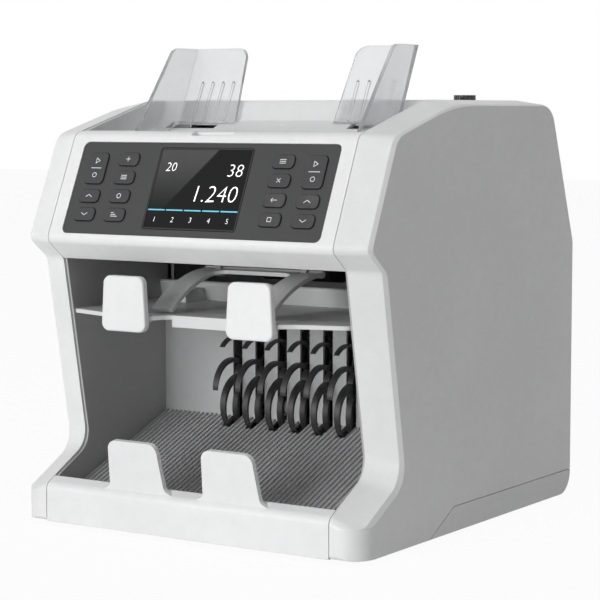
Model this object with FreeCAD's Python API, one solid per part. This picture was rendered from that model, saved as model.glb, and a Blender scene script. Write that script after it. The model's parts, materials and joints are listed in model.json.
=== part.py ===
import FreeCAD, Part
import math
import os

V = FreeCAD.Vector

# Driving sizes in millimetres. Pieces are drawn with y running back from the face of the front
# lip and z running up from the bottom edge of the housing; placed() moves them to the final frame.
WIDTH = 244.6
CHEEK = 20.5
DEPTH = 265.5
HEIGHT = 255.0
FOOT = 3.0
WALL = 2.6
SEAM = 0.4
TOUCH_GAP = 0.3
RUN_FIT = 0.05

# Side outline, from the front lip up over the nose and back; drops are measured down from the top.
LIP_Z = 22.5
WAIST_Y, WAIST_Z = 39.5, 43.8
BROW_Y, BROW_DROP = 18.5, 95.7
NOSE_Y, NOSE_DROP = 3.0, 83.7
CREST_Y, CREST_DROP = 31.4, 20.2
SHOULDER_Y = 105.0
REAR_TOP_BACK = 34.0
REAR_KINK_DROP = 92.0
INNER_RADII = [3.0, 6.0, 15.0, 6.0, 5.0, 7.0, 30.0, 14.0, 10.0, 14.0]
OUTER_RADII = [3.0, 6.0, 18.0, 8.0, 5.0, 14.0, 200.0, 16.0, 12.0, 14.0]
HOLLOW_CORNERS = (2, 3)
FLANGE_INSETS = [0.0, 10.0, 9.0, 5.0, 7.6, 3.4, 3.6, 2.2, 2.8, 0.0]
FLANGE_SHARE = 0.72
EDGE_WIDTH = 2.0
BASE_CORNER = 16.0
SKIRT_START_Y, SKIRT_TOP_Y, SKIRT_Z = 76.5, 105.9, 15.3

# Control panel, measured up the slanted face from the nose (s) and out of it (n).
INSERT_MARGIN, INSERT_LOW, INSERT_HIGH = 9.9, 5.0, 63.9
INSERT_RECESS, INSERT_THICK, INSERT_CORNER = 0.4, 2.0, 4.0
DISPLAY_MARGIN, DISPLAY_LOW, DISPLAY_HIGH = 58.4, 9.2, 61.1
KEY_WIDTH, KEY_HEIGHT, KEY_CORNER = 15.0, 8.2, 3.0
START_WIDTH, START_HEIGHT = 14.0, 20.0
OUTER_MARGIN, INNER_MARGIN = 13.9, 36.5
START_S, UP_S, DOWN_S = 46.8, 28.9, 17.1
INNER_ROWS = (52.9, 41.2, 29.2, 17.3)
KEY_PROUD, KEY_TRAVEL, KEY_FLANGE, KEY_LEDGE = 1.0, 0.8, 1.0, 1.2
BOARD_THICK = 1.6

# Stacker pocket and reject pocket.
LINER = 1.5
TAB_X, TAB_BASE, TAB_TOP, TAB_Z, TAB_THICK = 34.0, 40.0, 35.0, 55.0, 3.2
TAB_LEAN, TAB_CORNER = 11.0, 6.0
LIP_DEPTH = 9.6
FLOOR_Z, FLOOR_SLOPE, FLOOR_THICK = 11.3, 0.39, 2.0
RIB_PITCH, RIB_WIDTH, RIB_HEIGHT = 3.5, 1.4, 1.0
BACK_Y, BACK_THICK = 119.0, 2.0
TRAY_DROP, TRAY_THICK, TRAY_SKIRT = 31.3, 2.5, 7.0
LOBE_OUT, LOBE_HALF, LOBE_IN, LOBE_DEEP = 24.0, 16.0, 22.0, 12.0
STOP_X, STOP_TOP_W, STOP_LOW_W = 45.0, 29.0, 33.0
STOP_DROP, STOP_RISE, STOP_FACE_Y, STOP_THICK = 9.5, 23.5, 4.0, 4.2
STOP_CORNER = 5.0
STOP_BARREL_R, STOP_PIN_R, STOP_BARREL_W, STOP_EAR = 2.9, 1.5, 18.0, 4.0
FORK_X, FORK_ARM_W, FORK_THICK = 35.5, 15.0, 2.4
FORK_TIP_Y, FORK_PIVOT_Y, FORK_PIVOT_DROP, FORK_ROD_R = 30.0, 86.0, 8.6, 2.2
FORK_BULGE, FORK_BAR, CLIP_X, CLIP_W = 5.0, 8.0, 31.5, 4.0

# Hopper and its sliding guides.
HOPPER_TILT = 24.0
HOPPER_DROP, HOPPER_WALL = 24.8, 2.2
GUIDE_MARGIN, GUIDE_SPAN, GUIDE_THICK = 19.8, 41.0, 2.5
GUIDE_TOP_Y, GUIDE_RISE = 128.5, 33.0
GUIDE_FRONT_Y, GUIDE_FRONT_LEAN = 104.0, 37.0
GUIDE_IN, GUIDE_OUT = 20.0, 5.0
GUIDE_ROD_R, RACK_MODULE, PINION_TEETH = 2.5, 1.0, 16
RACK_BACKLASH = 0.5

# Frame, shafts and drive.
FRAME_MARGIN, FRAME_THICK = 4.8, 2.0
SHAFT_R, BUSH_R, BUSH_FLANGE = 4.0, 6.0, 1.5
FEED_R, FEED_PROUD, FEED_X, FEED_W = 15.5, 1.0, 28.0, 16.0
RETARD_R, RETARD_SHAFT_R, RETARD_ANGLE = 9.0, 3.0, 200.0
DRIVE_R, TURN_R = 12.0, 24.0
DRIVE_SHARE, DRIVE_DROP = 0.387, 28.0
TURN_BACK, TURN_DROP = 60.3, 47.0
OUTER_ROLLERS, DRIVE_W, TURN_W = 66.0, 14.0, 20.0
STACKER_BACK, STACKER_DROP, WHEEL_R, WHEEL_HUB, WHEEL_W = 11.0, 50.0, 36.0, 13.0, 4.0
WHEEL_PITCH, WHEEL_PAIRS, WHEEL_FINGERS = 17.0, 3, 8
MOTOR_BACK, MOTOR_DROP, MOTOR_R, MOTOR_GAP = 75.5, 16.0, 21.0, 6.0
BELT_WIDTH, BELT_THICK = 6.0, 1.4
PULLEY_TURN, PULLEY_STACKER, PULLEY_MOTOR, PULLEY_FEED = 14.0, 20.0, 9.0, 12.0
GATE_AHEAD, GATE_RISE, GATE_SHAFT_R, GATE_REACH, GATE_MARGIN = 45.2, 3.0, 3.0, 23.0, 12.0
GATE_BLADE = 10.0
SENSOR_GAP, SENSOR_AHEAD, UPPER_SENSOR, LOWER_SENSOR, LOWER_SENSOR_GAP = 3.0, 7.0, 12.0, 17.5, 0.5
SUPPLY_LEFT, SUPPLY_RIGHT, SUPPLY_SHARE = 17.0, -10.0, 0.73
BOARD_RIGHT, BOARD_WIDTH, BOARD_LIFT, BOARD_POST_INSET = 13.0, 78.0, 6.0, 6.0
ELECTRICS_FRONT, ELECTRICS_REAR = 16.0, 33.5

# Rear.
DOOR_HEIGHT, DOOR_BARREL_R, DOOR_PIN_R = 88.0, 6.0, 2.0
GRIP_R, GRIP_RISE, GRIP_DEPTH = 15.0, 4.0, 6.5
INLET_SHARE, PORT_SHARE, SOCKETS_SHARE = -0.639, 0.567, 0.4533
INLET_HALF_W, INLET_HALF_H, INLET_RIM, INLET_PROUD = 21.0, 11.0, 3.0, 1.2
PORT_HALF_W, PORT_HALF_H, PORT_PROUD = 20.0, 7.0, 0.4
VENT_W, VENT_PITCH, VENT_CORNER = 3.0, 8.0, 1.4
REAR_VENT_HALF, REAR_VENT_LOW, REAR_VENT_DROP = 24.0, 18.0, 25.0
BASE_VENT_HALF, BASE_VENT_FRONT, BASE_VENT_GAP = 48.0, 40.0, 23.0
SCREW_MARGIN, SCREW_BACK, SCREW_HEAD_R = 27.0, 54.1, 7.0

# Values that follow from the sizes above.
HALF = WIDTH / 2
BAY_HALF = HALF - CHEEK
BROW_Z = HEIGHT - BROW_DROP
NOSE_Z = HEIGHT - NOSE_DROP
CREST_Z = HEIGHT - CREST_DROP
REAR_TOP_Y = DEPTH - REAR_TOP_BACK
REAR_KINK_Z = HEIGHT - REAR_KINK_DROP
INSERT_HALF = BAY_HALF - INSERT_MARGIN
DISPLAY_HALF = INSERT_HALF - DISPLAY_MARGIN
OUTER_COLUMN = INSERT_HALF - OUTER_MARGIN
INNER_COLUMN = INSERT_HALF - INNER_MARGIN
TRAY_Z = BROW_Z - TRAY_DROP
STOP_LOW = TRAY_Z - STOP_DROP
STOP_HIGH = TRAY_Z + STOP_RISE
FORK_PIVOT_Z = BROW_Z - FORK_PIVOT_DROP
GUIDE_X = BAY_HALF - GUIDE_MARGIN
GUIDE_INNER = GUIDE_X - GUIDE_SPAN
GUIDE_TOP_Z = HEIGHT + GUIDE_RISE
FRAME_X = BAY_HALF - FRAME_MARGIN
SKIN_HALF = BAY_HALF - SEAM
LINER_INNER = SKIN_HALF - LINER
TILT = math.radians(HOPPER_TILT)
SLANT = math.atan2(CREST_Z - NOSE_Z, CREST_Y - NOSE_Y)
SIDE = [(0, 0), (0, LIP_Z), (WAIST_Y, WAIST_Z), (BROW_Y, BROW_Z), (NOSE_Y, NOSE_Z), (CREST_Y, CREST_Z),
        (SHOULDER_Y, HEIGHT), (REAR_TOP_Y, HEIGHT), (DEPTH, REAR_KINK_Z), (DEPTH, 0)]
INSERT_BACK = -INSERT_RECESS - INSERT_THICK
BOARD_FACE = INSERT_BACK - 2 * RUN_FIT - KEY_FLANGE - KEY_TRAVEL - TOUCH_GAP
HOPPER_FRONT = CREST_Y + 6.3
HOPPER_INNER = HOPPER_FRONT + HOPPER_WALL
HOPPER_LOW = CREST_Z - HOPPER_DROP
FEED_FOOT = HOPPER_INNER + 20.8
FEED_Y = FEED_FOOT + (FEED_R - FEED_PROUD) * math.sin(TILT)
FEED_Z = HOPPER_LOW + (FEED_FOOT - HOPPER_INNER) * math.tan(TILT) - (FEED_R - FEED_PROUD) * math.cos(TILT)
RETARD_STEP = FEED_R + RETARD_R + TOUCH_GAP
RETARD_Y = FEED_Y + RETARD_STEP * math.cos(math.radians(RETARD_ANGLE))
RETARD_Z = FEED_Z + RETARD_STEP * math.sin(math.radians(RETARD_ANGLE))
TURN_Y = DEPTH - TURN_BACK
TURN_Z = FEED_Z - TURN_DROP
DRIVE_Y = FEED_Y + DRIVE_SHARE * (TURN_Y - FEED_Y)
DRIVE_Z = FEED_Z - DRIVE_DROP
STACKER_Y = BACK_Y + STACKER_BACK
STACKER_Z = TRAY_Z - STACKER_DROP
MOTOR_Y = DEPTH - MOTOR_BACK
MOTOR_Z = STACKER_Z - MOTOR_DROP
GATE_Y = TURN_Y - GATE_AHEAD
GATE_Z = TRAY_Z + GATE_RISE
BELT_A = BAY_HALF + 1.2
BELT_B = BELT_A + BELT_WIDTH + 1.8
SHAFT_END = BELT_B + BELT_WIDTH + 1.2
DOOR_Y = DEPTH - DOOR_BARREL_R
DOOR_Z = REAR_KINK_Z - DOOR_HEIGHT
INLET_X = FRAME_X * INLET_SHARE
PORT_X = FRAME_X * PORT_SHARE
INLET_Z = DOOR_Z * SOCKETS_SHARE
PORT_Z = INLET_Z
SCREW_X = FRAME_X - SCREW_MARGIN
SCREW_Y = DEPTH - SCREW_BACK
WHEEL_XS = [(i + 0.5) * WHEEL_PITCH * side for side in (-1, 1) for i in range(WHEEL_PAIRS)]
MOTOR_LENGTH = FRAME_X - max(WHEEL_XS) - WHEEL_W / 2 - MOTOR_GAP
PINION_R = RACK_MODULE * PINION_TEETH / 2
ROOF_Z = BROW_Z + LINER


def floor_z(y):
    """Height of the hopper floor's upper face."""
    return HOPPER_LOW + (y - HOPPER_INNER) * math.tan(TILT)


def pocket_z(y):
    """Height of the stacker pocket floor's upper face."""
    return FLOOR_Z + (y - LIP_DEPTH) * FLOOR_SLOPE


def shoulder_z(y):
    """Height of the side outline's shoulder line."""
    return CREST_Z + (y - CREST_Y) * (HEIGHT - CREST_Z) / (SHOULDER_Y - CREST_Y)


def guide_y(z):
    """Depth of the front face of the hopper guides' back plates."""
    return GUIDE_TOP_Y - (GUIDE_TOP_Z - z) * math.tan(TILT)


def lean_foot(y, z, slope):
    """Depth at which a line leaning back from a point meets the hopper floor."""
    return (y - (z - floor_z(0)) * slope) / (1 - slope * math.tan(TILT))


STEM_Y = lean_foot(GUIDE_TOP_Y, GUIDE_TOP_Z, math.tan(TILT))
STEM_Z = floor_z(STEM_Y)
BLOCK_Y = STEM_Y + 3.0
BLOCK_Z = floor_z(BLOCK_Y - 12) - 9.0


def spot(axis, u, v, w):
    """A point from two coordinates in a plane and one along the plane's axis."""
    return {"x": V(w, u, v), "y": V(u, w, v), "z": V(u, v, w)}[axis]


def rounded_wire(points, radii, axis, level):
    """A closed wire through the points, with an arc of the given radius at each corner."""
    count = len(points)
    radii = radii if isinstance(radii, list) else [radii] * count
    ends = []
    for i, (u, v) in enumerate(points):
        here = V(u, v, 0)
        back = V(*points[i - 1], 0) - here
        ahead = V(*points[(i + 1) % count], 0) - here
        back.normalize()
        ahead.normalize()
        half = back.getAngle(ahead) / 2
        if radii[i] <= 0 or abs(half - math.pi / 2) < 1e-6:
            ends.append((here, None, here))
            continue
        run = radii[i] / math.tan(half)
        bisector = (back + ahead).normalize()
        middle = here + bisector * (radii[i] / math.sin(half) - radii[i])
        ends.append((here + back * run, middle, here + ahead * run))
    edges = []
    for i, (first, middle, last) in enumerate(ends):
        a, b = spot(axis, first.x, first.y, level), spot(axis, last.x, last.y, level)
        if middle is not None:
            edges.append(Part.Arc(a, spot(axis, middle.x, middle.y, level), b).toShape())
        following = ends[(i + 1) % count][0]
        c = spot(axis, following.x, following.y, level)
        if b.distanceToPoint(c) > 1e-6:
            edges.append(Part.makeLine(b, c))
    return Part.Wire(edges)


def prism(points, radii, axis, start, end):
    """A straight solid of a rounded outline between two levels along an axis."""
    wire = rounded_wire(points, radii, axis, start)
    return Part.Face(wire).extrude(spot(axis, 0, 0, end - start))


def box(x0, x1, y0, y1, z0, z1):
    return Part.makeBox(x1 - x0, y1 - y0, z1 - z0, V(x0, y0, z0))


def rod(axis, u, v, radius, start, end):
    direction = spot(axis, 0, 0, 1)
    return Part.makeCylinder(radius, end - start, spot(axis, u, v, start), direction)


def turned(profile, y, z):
    """A solid of revolution about an axis along x; the profile is a list of (x, radius)."""
    points = [V(x, y, z + r) for x, r in profile]
    face = Part.Face(Part.makePolygon(points + points[:1]))
    return face.revolve(V(0, y, z), V(1, 0, 0), 360)


def fuse(first, *others):
    return first.multiFuse(list(others)).removeSplitter()


def mirrored(shape):
    return shape.mirror(V(0, 0, 0), V(1, 0, 0))


def rectangle(u0, u1, v0, v1):
    return [(u0, v0), (u1, v0), (u1, v1), (u0, v1)]


def around(u, v, half_u, half_v):
    """A rectangle around a centre."""
    return rectangle(u - half_u, u + half_u, v - half_v, v + half_v)


def sheet_outline(line, thick):
    """The closed outline of a bent sheet whose outer face follows a line; it thickens to the right."""
    inner = inset(line, [thick] * (len(line) - 1), False)
    return line + inner[::-1]


def inset(points, distances, closed=True):
    """The points moved so that each side lies its distance to the right of where it was."""
    count = len(points)
    sides = count if closed else count - 1
    lines = []
    for i in range(sides):
        a, b = V(*points[i], 0), V(*points[(i + 1) % count], 0)
        along = (b - a).normalize()
        shift = V(along.y, -along.x, 0) * distances[i]
        lines.append((a + shift, b + shift, along))
    moved = []
    for i in range(count):
        if not closed and i == 0:
            moved.append((lines[0][0].x, lines[0][0].y))
            continue
        if not closed and i == count - 1:
            moved.append((lines[-1][1].x, lines[-1][1].y))
            continue
        p, _, d = lines[i - 1]
        q, _, e = lines[i]
        t = ((q.x - p.x) * e.y - (q.y - p.y) * e.x) / (d.x * e.y - d.y * e.x)
        moved.append((p.x + d.x * t, p.y + d.y * t))
    return moved


def on_panel(shape):
    """Moves a piece drawn in panel coordinates (x, s, n) onto the slanted front face."""
    turned_up = FreeCAD.Rotation(V(1, 0, 0), math.degrees(SLANT))
    return shape.transformGeometry(FreeCAD.Placement(V(0, NOSE_Y, NOSE_Z), turned_up).toMatrix())


def plate(u0, u1, s0, s1, corner, n0, n1):
    return prism(rectangle(u0, u1, s0, s1), corner, "z", n0, n1)


def side_loft(levels, shares, skin):
    """The side panel's form: the side outline drawn in by a share of the flange insets at each level."""
    wires = []
    for x, share in zip(levels, shares):
        points = inset(SIDE, [share * d + skin for d in FLANGE_INSETS])
        grow = [skin if i in HOLLOW_CORNERS else -skin for i in range(len(SIDE))]
        blend = [r + (s - r) * share for r, s in zip(INNER_RADII, OUTER_RADII)]
        radii = [max(r + g, 0.8) for r, g in zip(blend, grow)]
        wires.append(rounded_wire(points, radii, "x", x))
    return Part.makeLoft(wires, True, True)


def base_corner(skin):
    """What lies outside the rounded front corner of the base."""
    block = box(HALF - BASE_CORNER, HALF + 1, -1, BASE_CORNER, -1, WAIST_Z)
    return block.cut(rod("z", HALF - BASE_CORNER, BASE_CORNER, BASE_CORNER - skin, -1, WAIST_Z))


def side_shell():
    outer = side_loft([BAY_HALF, HALF - EDGE_WIDTH, HALF], [0, FLANGE_SHARE, 1], 0)
    outer = outer.cut(base_corner(0))
    levels = [BAY_HALF - SEAM, HALF - EDGE_WIDTH - WALL * FLANGE_SHARE, HALF - WALL]
    hollow = side_loft(levels, [0, FLANGE_SHARE, 0.95], WALL).cut(base_corner(WALL))
    return outer.cut(hollow)


def skirt_region(drop):
    """The region of the side that belongs to the base tray."""
    slope = SKIRT_Z / (SKIRT_TOP_Y - SKIRT_START_Y)
    points = [(SKIRT_START_Y + drop / slope - 2 / slope, -2), (SKIRT_TOP_Y + drop, SKIRT_Z - drop),
              (DEPTH + 2, SKIRT_Z - drop), (DEPTH + 2, -2)]
    return prism(points, 0, "x", 0, HALF + 1)


def side_panel():
    return side_shell().cut(skirt_region(0))


def foot_spots():
    across, along = BAY_HALF - 9.8, 26.0
    return [(x, y) for x in (-across, across) for y in (along, DEPTH - along)]


def vent_row(half):
    """Left edges of a row of vents that reaches as far to both sides of the middle."""
    return [i * VENT_PITCH - half for i in range(int(2 * half / VENT_PITCH) + 1)]


def screw_spots():
    return [(x, y) for x in (-FRAME_X + 8, FRAME_X - 8) for y in (BACK_Y + 22, DEPTH - 48)]


def base_tray():
    skirt = side_shell().common(skirt_region(SEAM))
    floor = box(-BAY_HALF, BAY_HALF, WALL + 0.2, DEPTH - WALL - TOUCH_GAP, 0, WALL)
    posts = [rod("z", x, y, 2.5, WALL - 0.5, WALL + BOARD_LIFT) for x, y in board_posts()]
    tray = fuse(floor, skirt, mirrored(skirt), *posts)
    vents = [prism(rectangle(x, x + VENT_W, BASE_VENT_FRONT, BACK_Y - BASE_VENT_GAP), VENT_CORNER,
                   "z", -1, WALL + 1) for x in vent_row(BASE_VENT_HALF)]
    holes = [rod("z", x, y, 1.7, -1, WALL + 1) for x, y in screw_spots()]
    sinks = [rod("z", x, y, 3.3, -1, 1.6) for x, y in screw_spots()]
    return tray.cut(vents + holes + sinks)


def rubber_feet():
    feet = []
    for x, y in foot_spots():
        cone = Part.makeCone(7.0, 8.0, FOOT, V(x, y, -FOOT), V(0, 0, 1))
        feet.append(cone.cut(rod("z", x, y, 2.5, -FOOT - 1, -FOOT + 1.5)))
    return Part.makeCompound(feet)


def housing_screws():
    screws = []
    for x, y in screw_spots():
        head = rod("z", x, y, 3.0, 0.2, 1.6)
        shank = rod("z", x, y, 1.5, 1.6, WALL + FRAME_THICK)
        slot = box(x - 2, x + 2, y - 0.4, y + 0.4, 0, 0.8)
        screws.append(fuse(head, shank).cut(slot))
    return Part.makeCompound(screws)


def front_panel():
    top = CREST_Y + 5.6
    line = [(BROW_Y, BROW_Z), (NOSE_Y, NOSE_Z), (CREST_Y, CREST_Z), (top, shoulder_z(top))]
    radii = [0, 5, 7, 0, 0, 4.4, 2.4, 0]
    sheet = prism(sheet_outline(line, WALL), radii, "x", -SKIN_HALF, SKIN_HALF)
    gap = SEAM - 0.1
    window = plate(-INSERT_HALF - gap, INSERT_HALF + gap, INSERT_LOW - gap, INSERT_HIGH + gap,
                   INSERT_CORNER, -WALL - 2, 2)
    notch = prism([(-17, HEIGHT), (-14.5, CREST_Z - 0.9), (14.5, CREST_Z - 0.9), (17, HEIGHT)], 0,
                  "y", 0, HOPPER_FRONT)
    return sheet.cut(on_panel(window)).cut(notch)


def key_table():
    """Name, place and size of every key."""
    keys = []
    for side, sign in (("left", -1), ("right", 1)):
        x = sign * OUTER_COLUMN
        keys.append((side + "_start_key", x, START_S, START_WIDTH, START_HEIGHT))
        keys.append((side + "_up_key", x, UP_S, KEY_WIDTH, KEY_HEIGHT))
        keys.append((side + "_down_key", x, DOWN_S, KEY_WIDTH, KEY_HEIGHT))
    names = (("add_key", "batch_key", "mode_key", "report_key"),
             ("menu_key", "clear_key", "back_key", "test_key"))
    for column, sign in zip(names, (-1, 1)):
        for name, s in zip(column, INNER_ROWS):
            keys.append((name, sign * INNER_COLUMN, s, KEY_WIDTH, KEY_HEIGHT))
    return keys


def key_plate(x, s, width, height, grow, n0, n1):
    w, h = width / 2 + grow, height / 2 + grow
    return plate(x - w, x + w, s - h, s + h, KEY_CORNER + min(grow, 0.6), n0, n1)


def key(x, s, width, height):
    face = -INSERT_RECESS + KEY_PROUD
    low = INSERT_BACK - 2 * RUN_FIT
    cap = key_plate(x, s, width, height, 0, low, face)
    rim = [e for e in cap.Edges if all(abs(v.Z - face) < 1e-6 for v in e.Vertexes)]
    cap = cap.makeFillet(0.5, rim)
    flange = key_plate(x, s, width, height, KEY_LEDGE, low - KEY_FLANGE, low)
    return on_panel(fuse(cap, flange))


def control_insert():
    body = plate(-INSERT_HALF, INSERT_HALF, INSERT_LOW, INSERT_HIGH, INSERT_CORNER,
                 INSERT_BACK, -INSERT_RECESS)
    outer = plate(-INSERT_HALF - 2, INSERT_HALF + 2, INSERT_LOW - 0.8, INSERT_HIGH + 1.6, 2,
                  BOARD_FACE, -WALL)
    inner = plate(-INSERT_HALF + 2.2, INSERT_HALF - 2.2, INSERT_LOW + 2, INSERT_HIGH - 1, 2,
                  BOARD_FACE, -WALL)
    web = plate(-INSERT_HALF, INSERT_HALF, INSERT_LOW, INSERT_HIGH, INSERT_CORNER, -WALL, INSERT_BACK)
    ring = fuse(outer, web).cut(inner).cut(plate(-INSERT_HALF + 2.2, INSERT_HALF - 2.2, INSERT_LOW + 2,
                                                 INSERT_HIGH - 1, 2, -WALL, INSERT_BACK))
    solid = fuse(body, ring)
    holes = [key_plate(x, s, w, h, TOUCH_GAP, INSERT_BACK - 1, 1) for _, x, s, w, h in key_table()]
    window = plate(-DISPLAY_HALF, DISPLAY_HALF, DISPLAY_LOW, DISPLAY_HIGH, 1.5, INSERT_BACK - 1, 1)
    return on_panel(solid.cut(holes + [window]))


def display_module():
    gap = TOUCH_GAP
    glass = plate(-DISPLAY_HALF + gap, DISPLAY_HALF - gap, DISPLAY_LOW + gap, DISPLAY_HIGH - gap, 1.2,
                  INSERT_BACK - 0.2, -INSERT_RECESS - 0.2)
    back = plate(-DISPLAY_HALF - 2, DISPLAY_HALF + 2, DISPLAY_LOW - 1.2, DISPLAY_HIGH + 1.2, 1,
                 BOARD_FACE, INSERT_BACK - 0.2)
    return on_panel(fuse(glass, back))


def keypad_board():
    board = plate(-INSERT_HALF - 1, INSERT_HALF + 1, INSERT_LOW - 1, INSERT_HIGH + 1, 2,
                  BOARD_FACE - BOARD_THICK, BOARD_FACE)
    return on_panel(board)


def front_lip():
    points = [(0, 0), (0, LIP_Z), (LIP_DEPTH, LIP_Z + LIP_DEPTH * 0.54), (LIP_DEPTH, 8), (LIP_DEPTH - 2.2, 8),
              (LIP_DEPTH - 2.2, LIP_Z + 1.6), (WALL - 0.2, LIP_Z - 1), (WALL - 0.2, 0)]
    beam = prism(points, [0, 6, 1.5, 0, 0, 0.5, 3.5, 0], "x", -SKIN_HALF, SKIN_HALF)
    tabs = []
    for side in (-1, 1):
        tabs.append(lip_tab().translated(V(side * TAB_X, 0, 0)))
    return fuse(beam, *tabs)


def lip_tab():
    """One upright tab, flared where it meets the lip and leaning to the front."""
    low, top = TAB_BASE / 2, TAB_TOP / 2
    root = LIP_Z - 1
    flare = 5.0
    points = [(-low - flare, root), (-low - flare, root + 2.5), (-low, root + 5), (-top, TAB_Z), (top, TAB_Z),
              (low, root + 5), (low + flare, root + 2.5), (low + flare, root)]
    tab = prism(points, [0, 1, 4, TAB_CORNER, TAB_CORNER, 4, 1, 0], "y", 0, TAB_THICK)
    tab.rotate(V(0, 0, root), V(1, 0, 0), TAB_LEAN)
    return tab.translated(V(0, 3.0, 0))


def wheel_slots(margin):
    """Room around the stacker wheels."""
    half = WHEEL_W / 2 + margin
    return [rod("x", STACKER_Y, STACKER_Z, WHEEL_R + margin, x - half, x + half) for x in WHEEL_XS]


def pocket_floor():
    front, rear = LIP_DEPTH + SEAM, BACK_Y - SEAM
    points = [(front, pocket_z(front)), (rear, pocket_z(rear)), (rear, pocket_z(rear) - FLOOR_THICK),
              (front, pocket_z(front) - FLOOR_THICK)]
    floor = prism(points, 0, "x", -LINER_INNER, LINER_INNER)
    ribs = []
    count = int((LINER_INNER - RIB_WIDTH) / RIB_PITCH)
    top = [(front, pocket_z(front) - 0.5), (front, pocket_z(front) + RIB_HEIGHT / 2),
           (front + 2, pocket_z(front + 2) + RIB_HEIGHT), (rear, pocket_z(rear) + RIB_HEIGHT),
           (rear, pocket_z(rear) - 0.5)]
    for i in range(-count, count + 1):
        ribs.append(prism(top, 0, "x", i * RIB_PITCH - RIB_WIDTH / 2, i * RIB_PITCH + RIB_WIDTH / 2))
    return fuse(floor, *ribs).cut(wheel_slots(1.5))


def pocket_liner():
    front = LIP_DEPTH + SEAM
    rear = BACK_Y + BACK_THICK + 1
    edge = 1.2
    lip = LIP_Z + front * (WAIST_Z - LIP_Z) / WAIST_Y - edge
    points = [(front, WALL + SEAM), (front, lip), (WAIST_Y + edge, WAIST_Z - edge), (BROW_Y + edge, BROW_Z),
              (BROW_Y + edge, ROOF_Z), (rear, ROOF_Z), (rear, WALL + SEAM)]
    wall = prism(points, [0, 2, INNER_RADII[2], 0, 0, 0, 0], "x", LINER_INNER, SKIN_HALF)
    roof = box(-SKIN_HALF, SKIN_HALF, BROW_Y + edge, rear, BROW_Z, ROOF_Z)
    reach = FORK_ROD_R + 1.8
    clip_points = rectangle(FORK_PIVOT_Y - reach, FORK_PIVOT_Y + reach, FORK_PIVOT_Z - reach, BROW_Z + 0.5)
    clip = prism(clip_points, [3, 3, 0, 0], "x", CLIP_X - CLIP_W / 2, CLIP_X + CLIP_W / 2)
    bore = rod("x", FORK_PIVOT_Y, FORK_PIVOT_Z, FORK_ROD_R + RUN_FIT, -CLIP_X - CLIP_W, CLIP_X + CLIP_W)
    return fuse(roof, wall, mirrored(wall), clip, mirrored(clip)).cut(bore)


def hold_down_fork():
    tip_z = TRAY_Z + TOUCH_GAP + FORK_THICK / 2
    tip = V(0, FORK_TIP_Y, tip_z)
    root = V(0, FORK_PIVOT_Y, FORK_PIVOT_Z)
    chord = root - tip
    upward = V(0, -chord.z, chord.y).normalize()
    middle = (tip + root) * 0.5 + upward * FORK_BULGE
    circle = Part.Arc(tip, middle, root).toShape().Curve
    outer, inner = ([circle.Center + (p - circle.Center) * (1 + side * FORK_THICK / 2 / circle.Radius)
                     for p in (tip, middle, root)] for side in (1, -1))
    edges = [Part.Arc(*outer).toShape(), Part.makeLine(outer[2], inner[2]),
             Part.Arc(*inner[::-1]).toShape(), Part.makeLine(inner[0], outer[0])]
    face = Part.Face(Part.Wire(edges))
    half = FORK_X + FORK_ARM_W / 2
    blade = face.extrude(V(2 * half, 0, 0)).translated(V(-half, 0, 0))
    inside = FORK_X - FORK_ARM_W / 2
    bar = FORK_PIVOT_Y - FORK_BAR
    gap = prism([(-inside, FORK_TIP_Y - 2), (-inside, bar), (inside, bar), (inside, FORK_TIP_Y - 2)],
                [0, 8, 8, 0], "z", TRAY_Z - 5, BROW_Z + 5)
    room = CLIP_W / 2 + 1
    notches = [box(x - room, x + room, FORK_PIVOT_Y - FORK_ROD_R - 4, FORK_PIVOT_Y + 5, TRAY_Z, BROW_Z)
               for x in (-CLIP_X, CLIP_X)]
    pin = rod("x", FORK_PIVOT_Y, FORK_PIVOT_Z, FORK_ROD_R, -half, half)
    return fuse(blade.cut([gap] + notches), pin)


def reject_tray():
    wide = LINER_INNER
    lobe = STOP_FACE_Y + STOP_THICK + 1.4
    half = []
    half += [(wide, BACK_Y), (wide, BROW_Y + 7), (STOP_X + LOBE_OUT, lobe + 6), (STOP_X + LOBE_HALF, lobe)]
    half += [(STOP_X - LOBE_HALF, lobe), (STOP_X - LOBE_IN, lobe + LOBE_DEEP)]
    points = half + [(-x, y) for x, y in half[::-1]]
    radii = [0, 6, 10, 6, 6, 6]
    tray = prism(points, radii + radii[::-1], "z", TRAY_Z - TRAY_THICK, TRAY_Z)
    inside = STOP_X - LOBE_IN - 1
    skirt = box(-inside, inside, lobe + LOBE_DEEP, lobe + LOBE_DEEP + 2, TRAY_Z - TRAY_SKIRT, TRAY_Z - 1)
    upstand_points = [(BACK_Y - 3, TRAY_Z - 1), (BACK_Y - 6, TRAY_Z + 12), (BACK_Y, TRAY_Z + 12),
                      (BACK_Y, TRAY_Z - 1)]
    upstand = prism(upstand_points, [0, 2, 0, 0], "x", -wide, wide)
    blocks = [box(x - 5, x + 5, BACK_Y - 25, BACK_Y - 2, TRAY_Z - 1, TRAY_Z + 8)
              for x in (27 - FRAME_X, FRAME_X - 27)]
    hinge_y, hinge_z = stop_hinge()
    ears, cuts = [], []
    for x in (-STOP_X, STOP_X):
        low, high = STOP_BARREL_W / 2 + TOUCH_GAP, STOP_BARREL_W / 2 + TOUCH_GAP + STOP_EAR
        for a, b in ((x - high, x - low), (x + low, x + high)):
            ears.append(rod("x", hinge_y, hinge_z, STOP_BARREL_R, a, b))
        cuts.append(box(x - low, x + low, 0, hinge_y + 4.6, TRAY_Z - 9, TRAY_Z + 9))
        cuts.append(rod("x", hinge_y, hinge_z, STOP_PIN_R + RUN_FIT, x - high - 1, x + high + 1))
    return fuse(tray, skirt, upstand, *blocks, *ears).cut(cuts)


def stop_hinge():
    """Depth and height of the reject stops' hinge line."""
    return STOP_FACE_Y + STOP_THICK + 4.8, TRAY_Z - TRAY_THICK / 2


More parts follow.
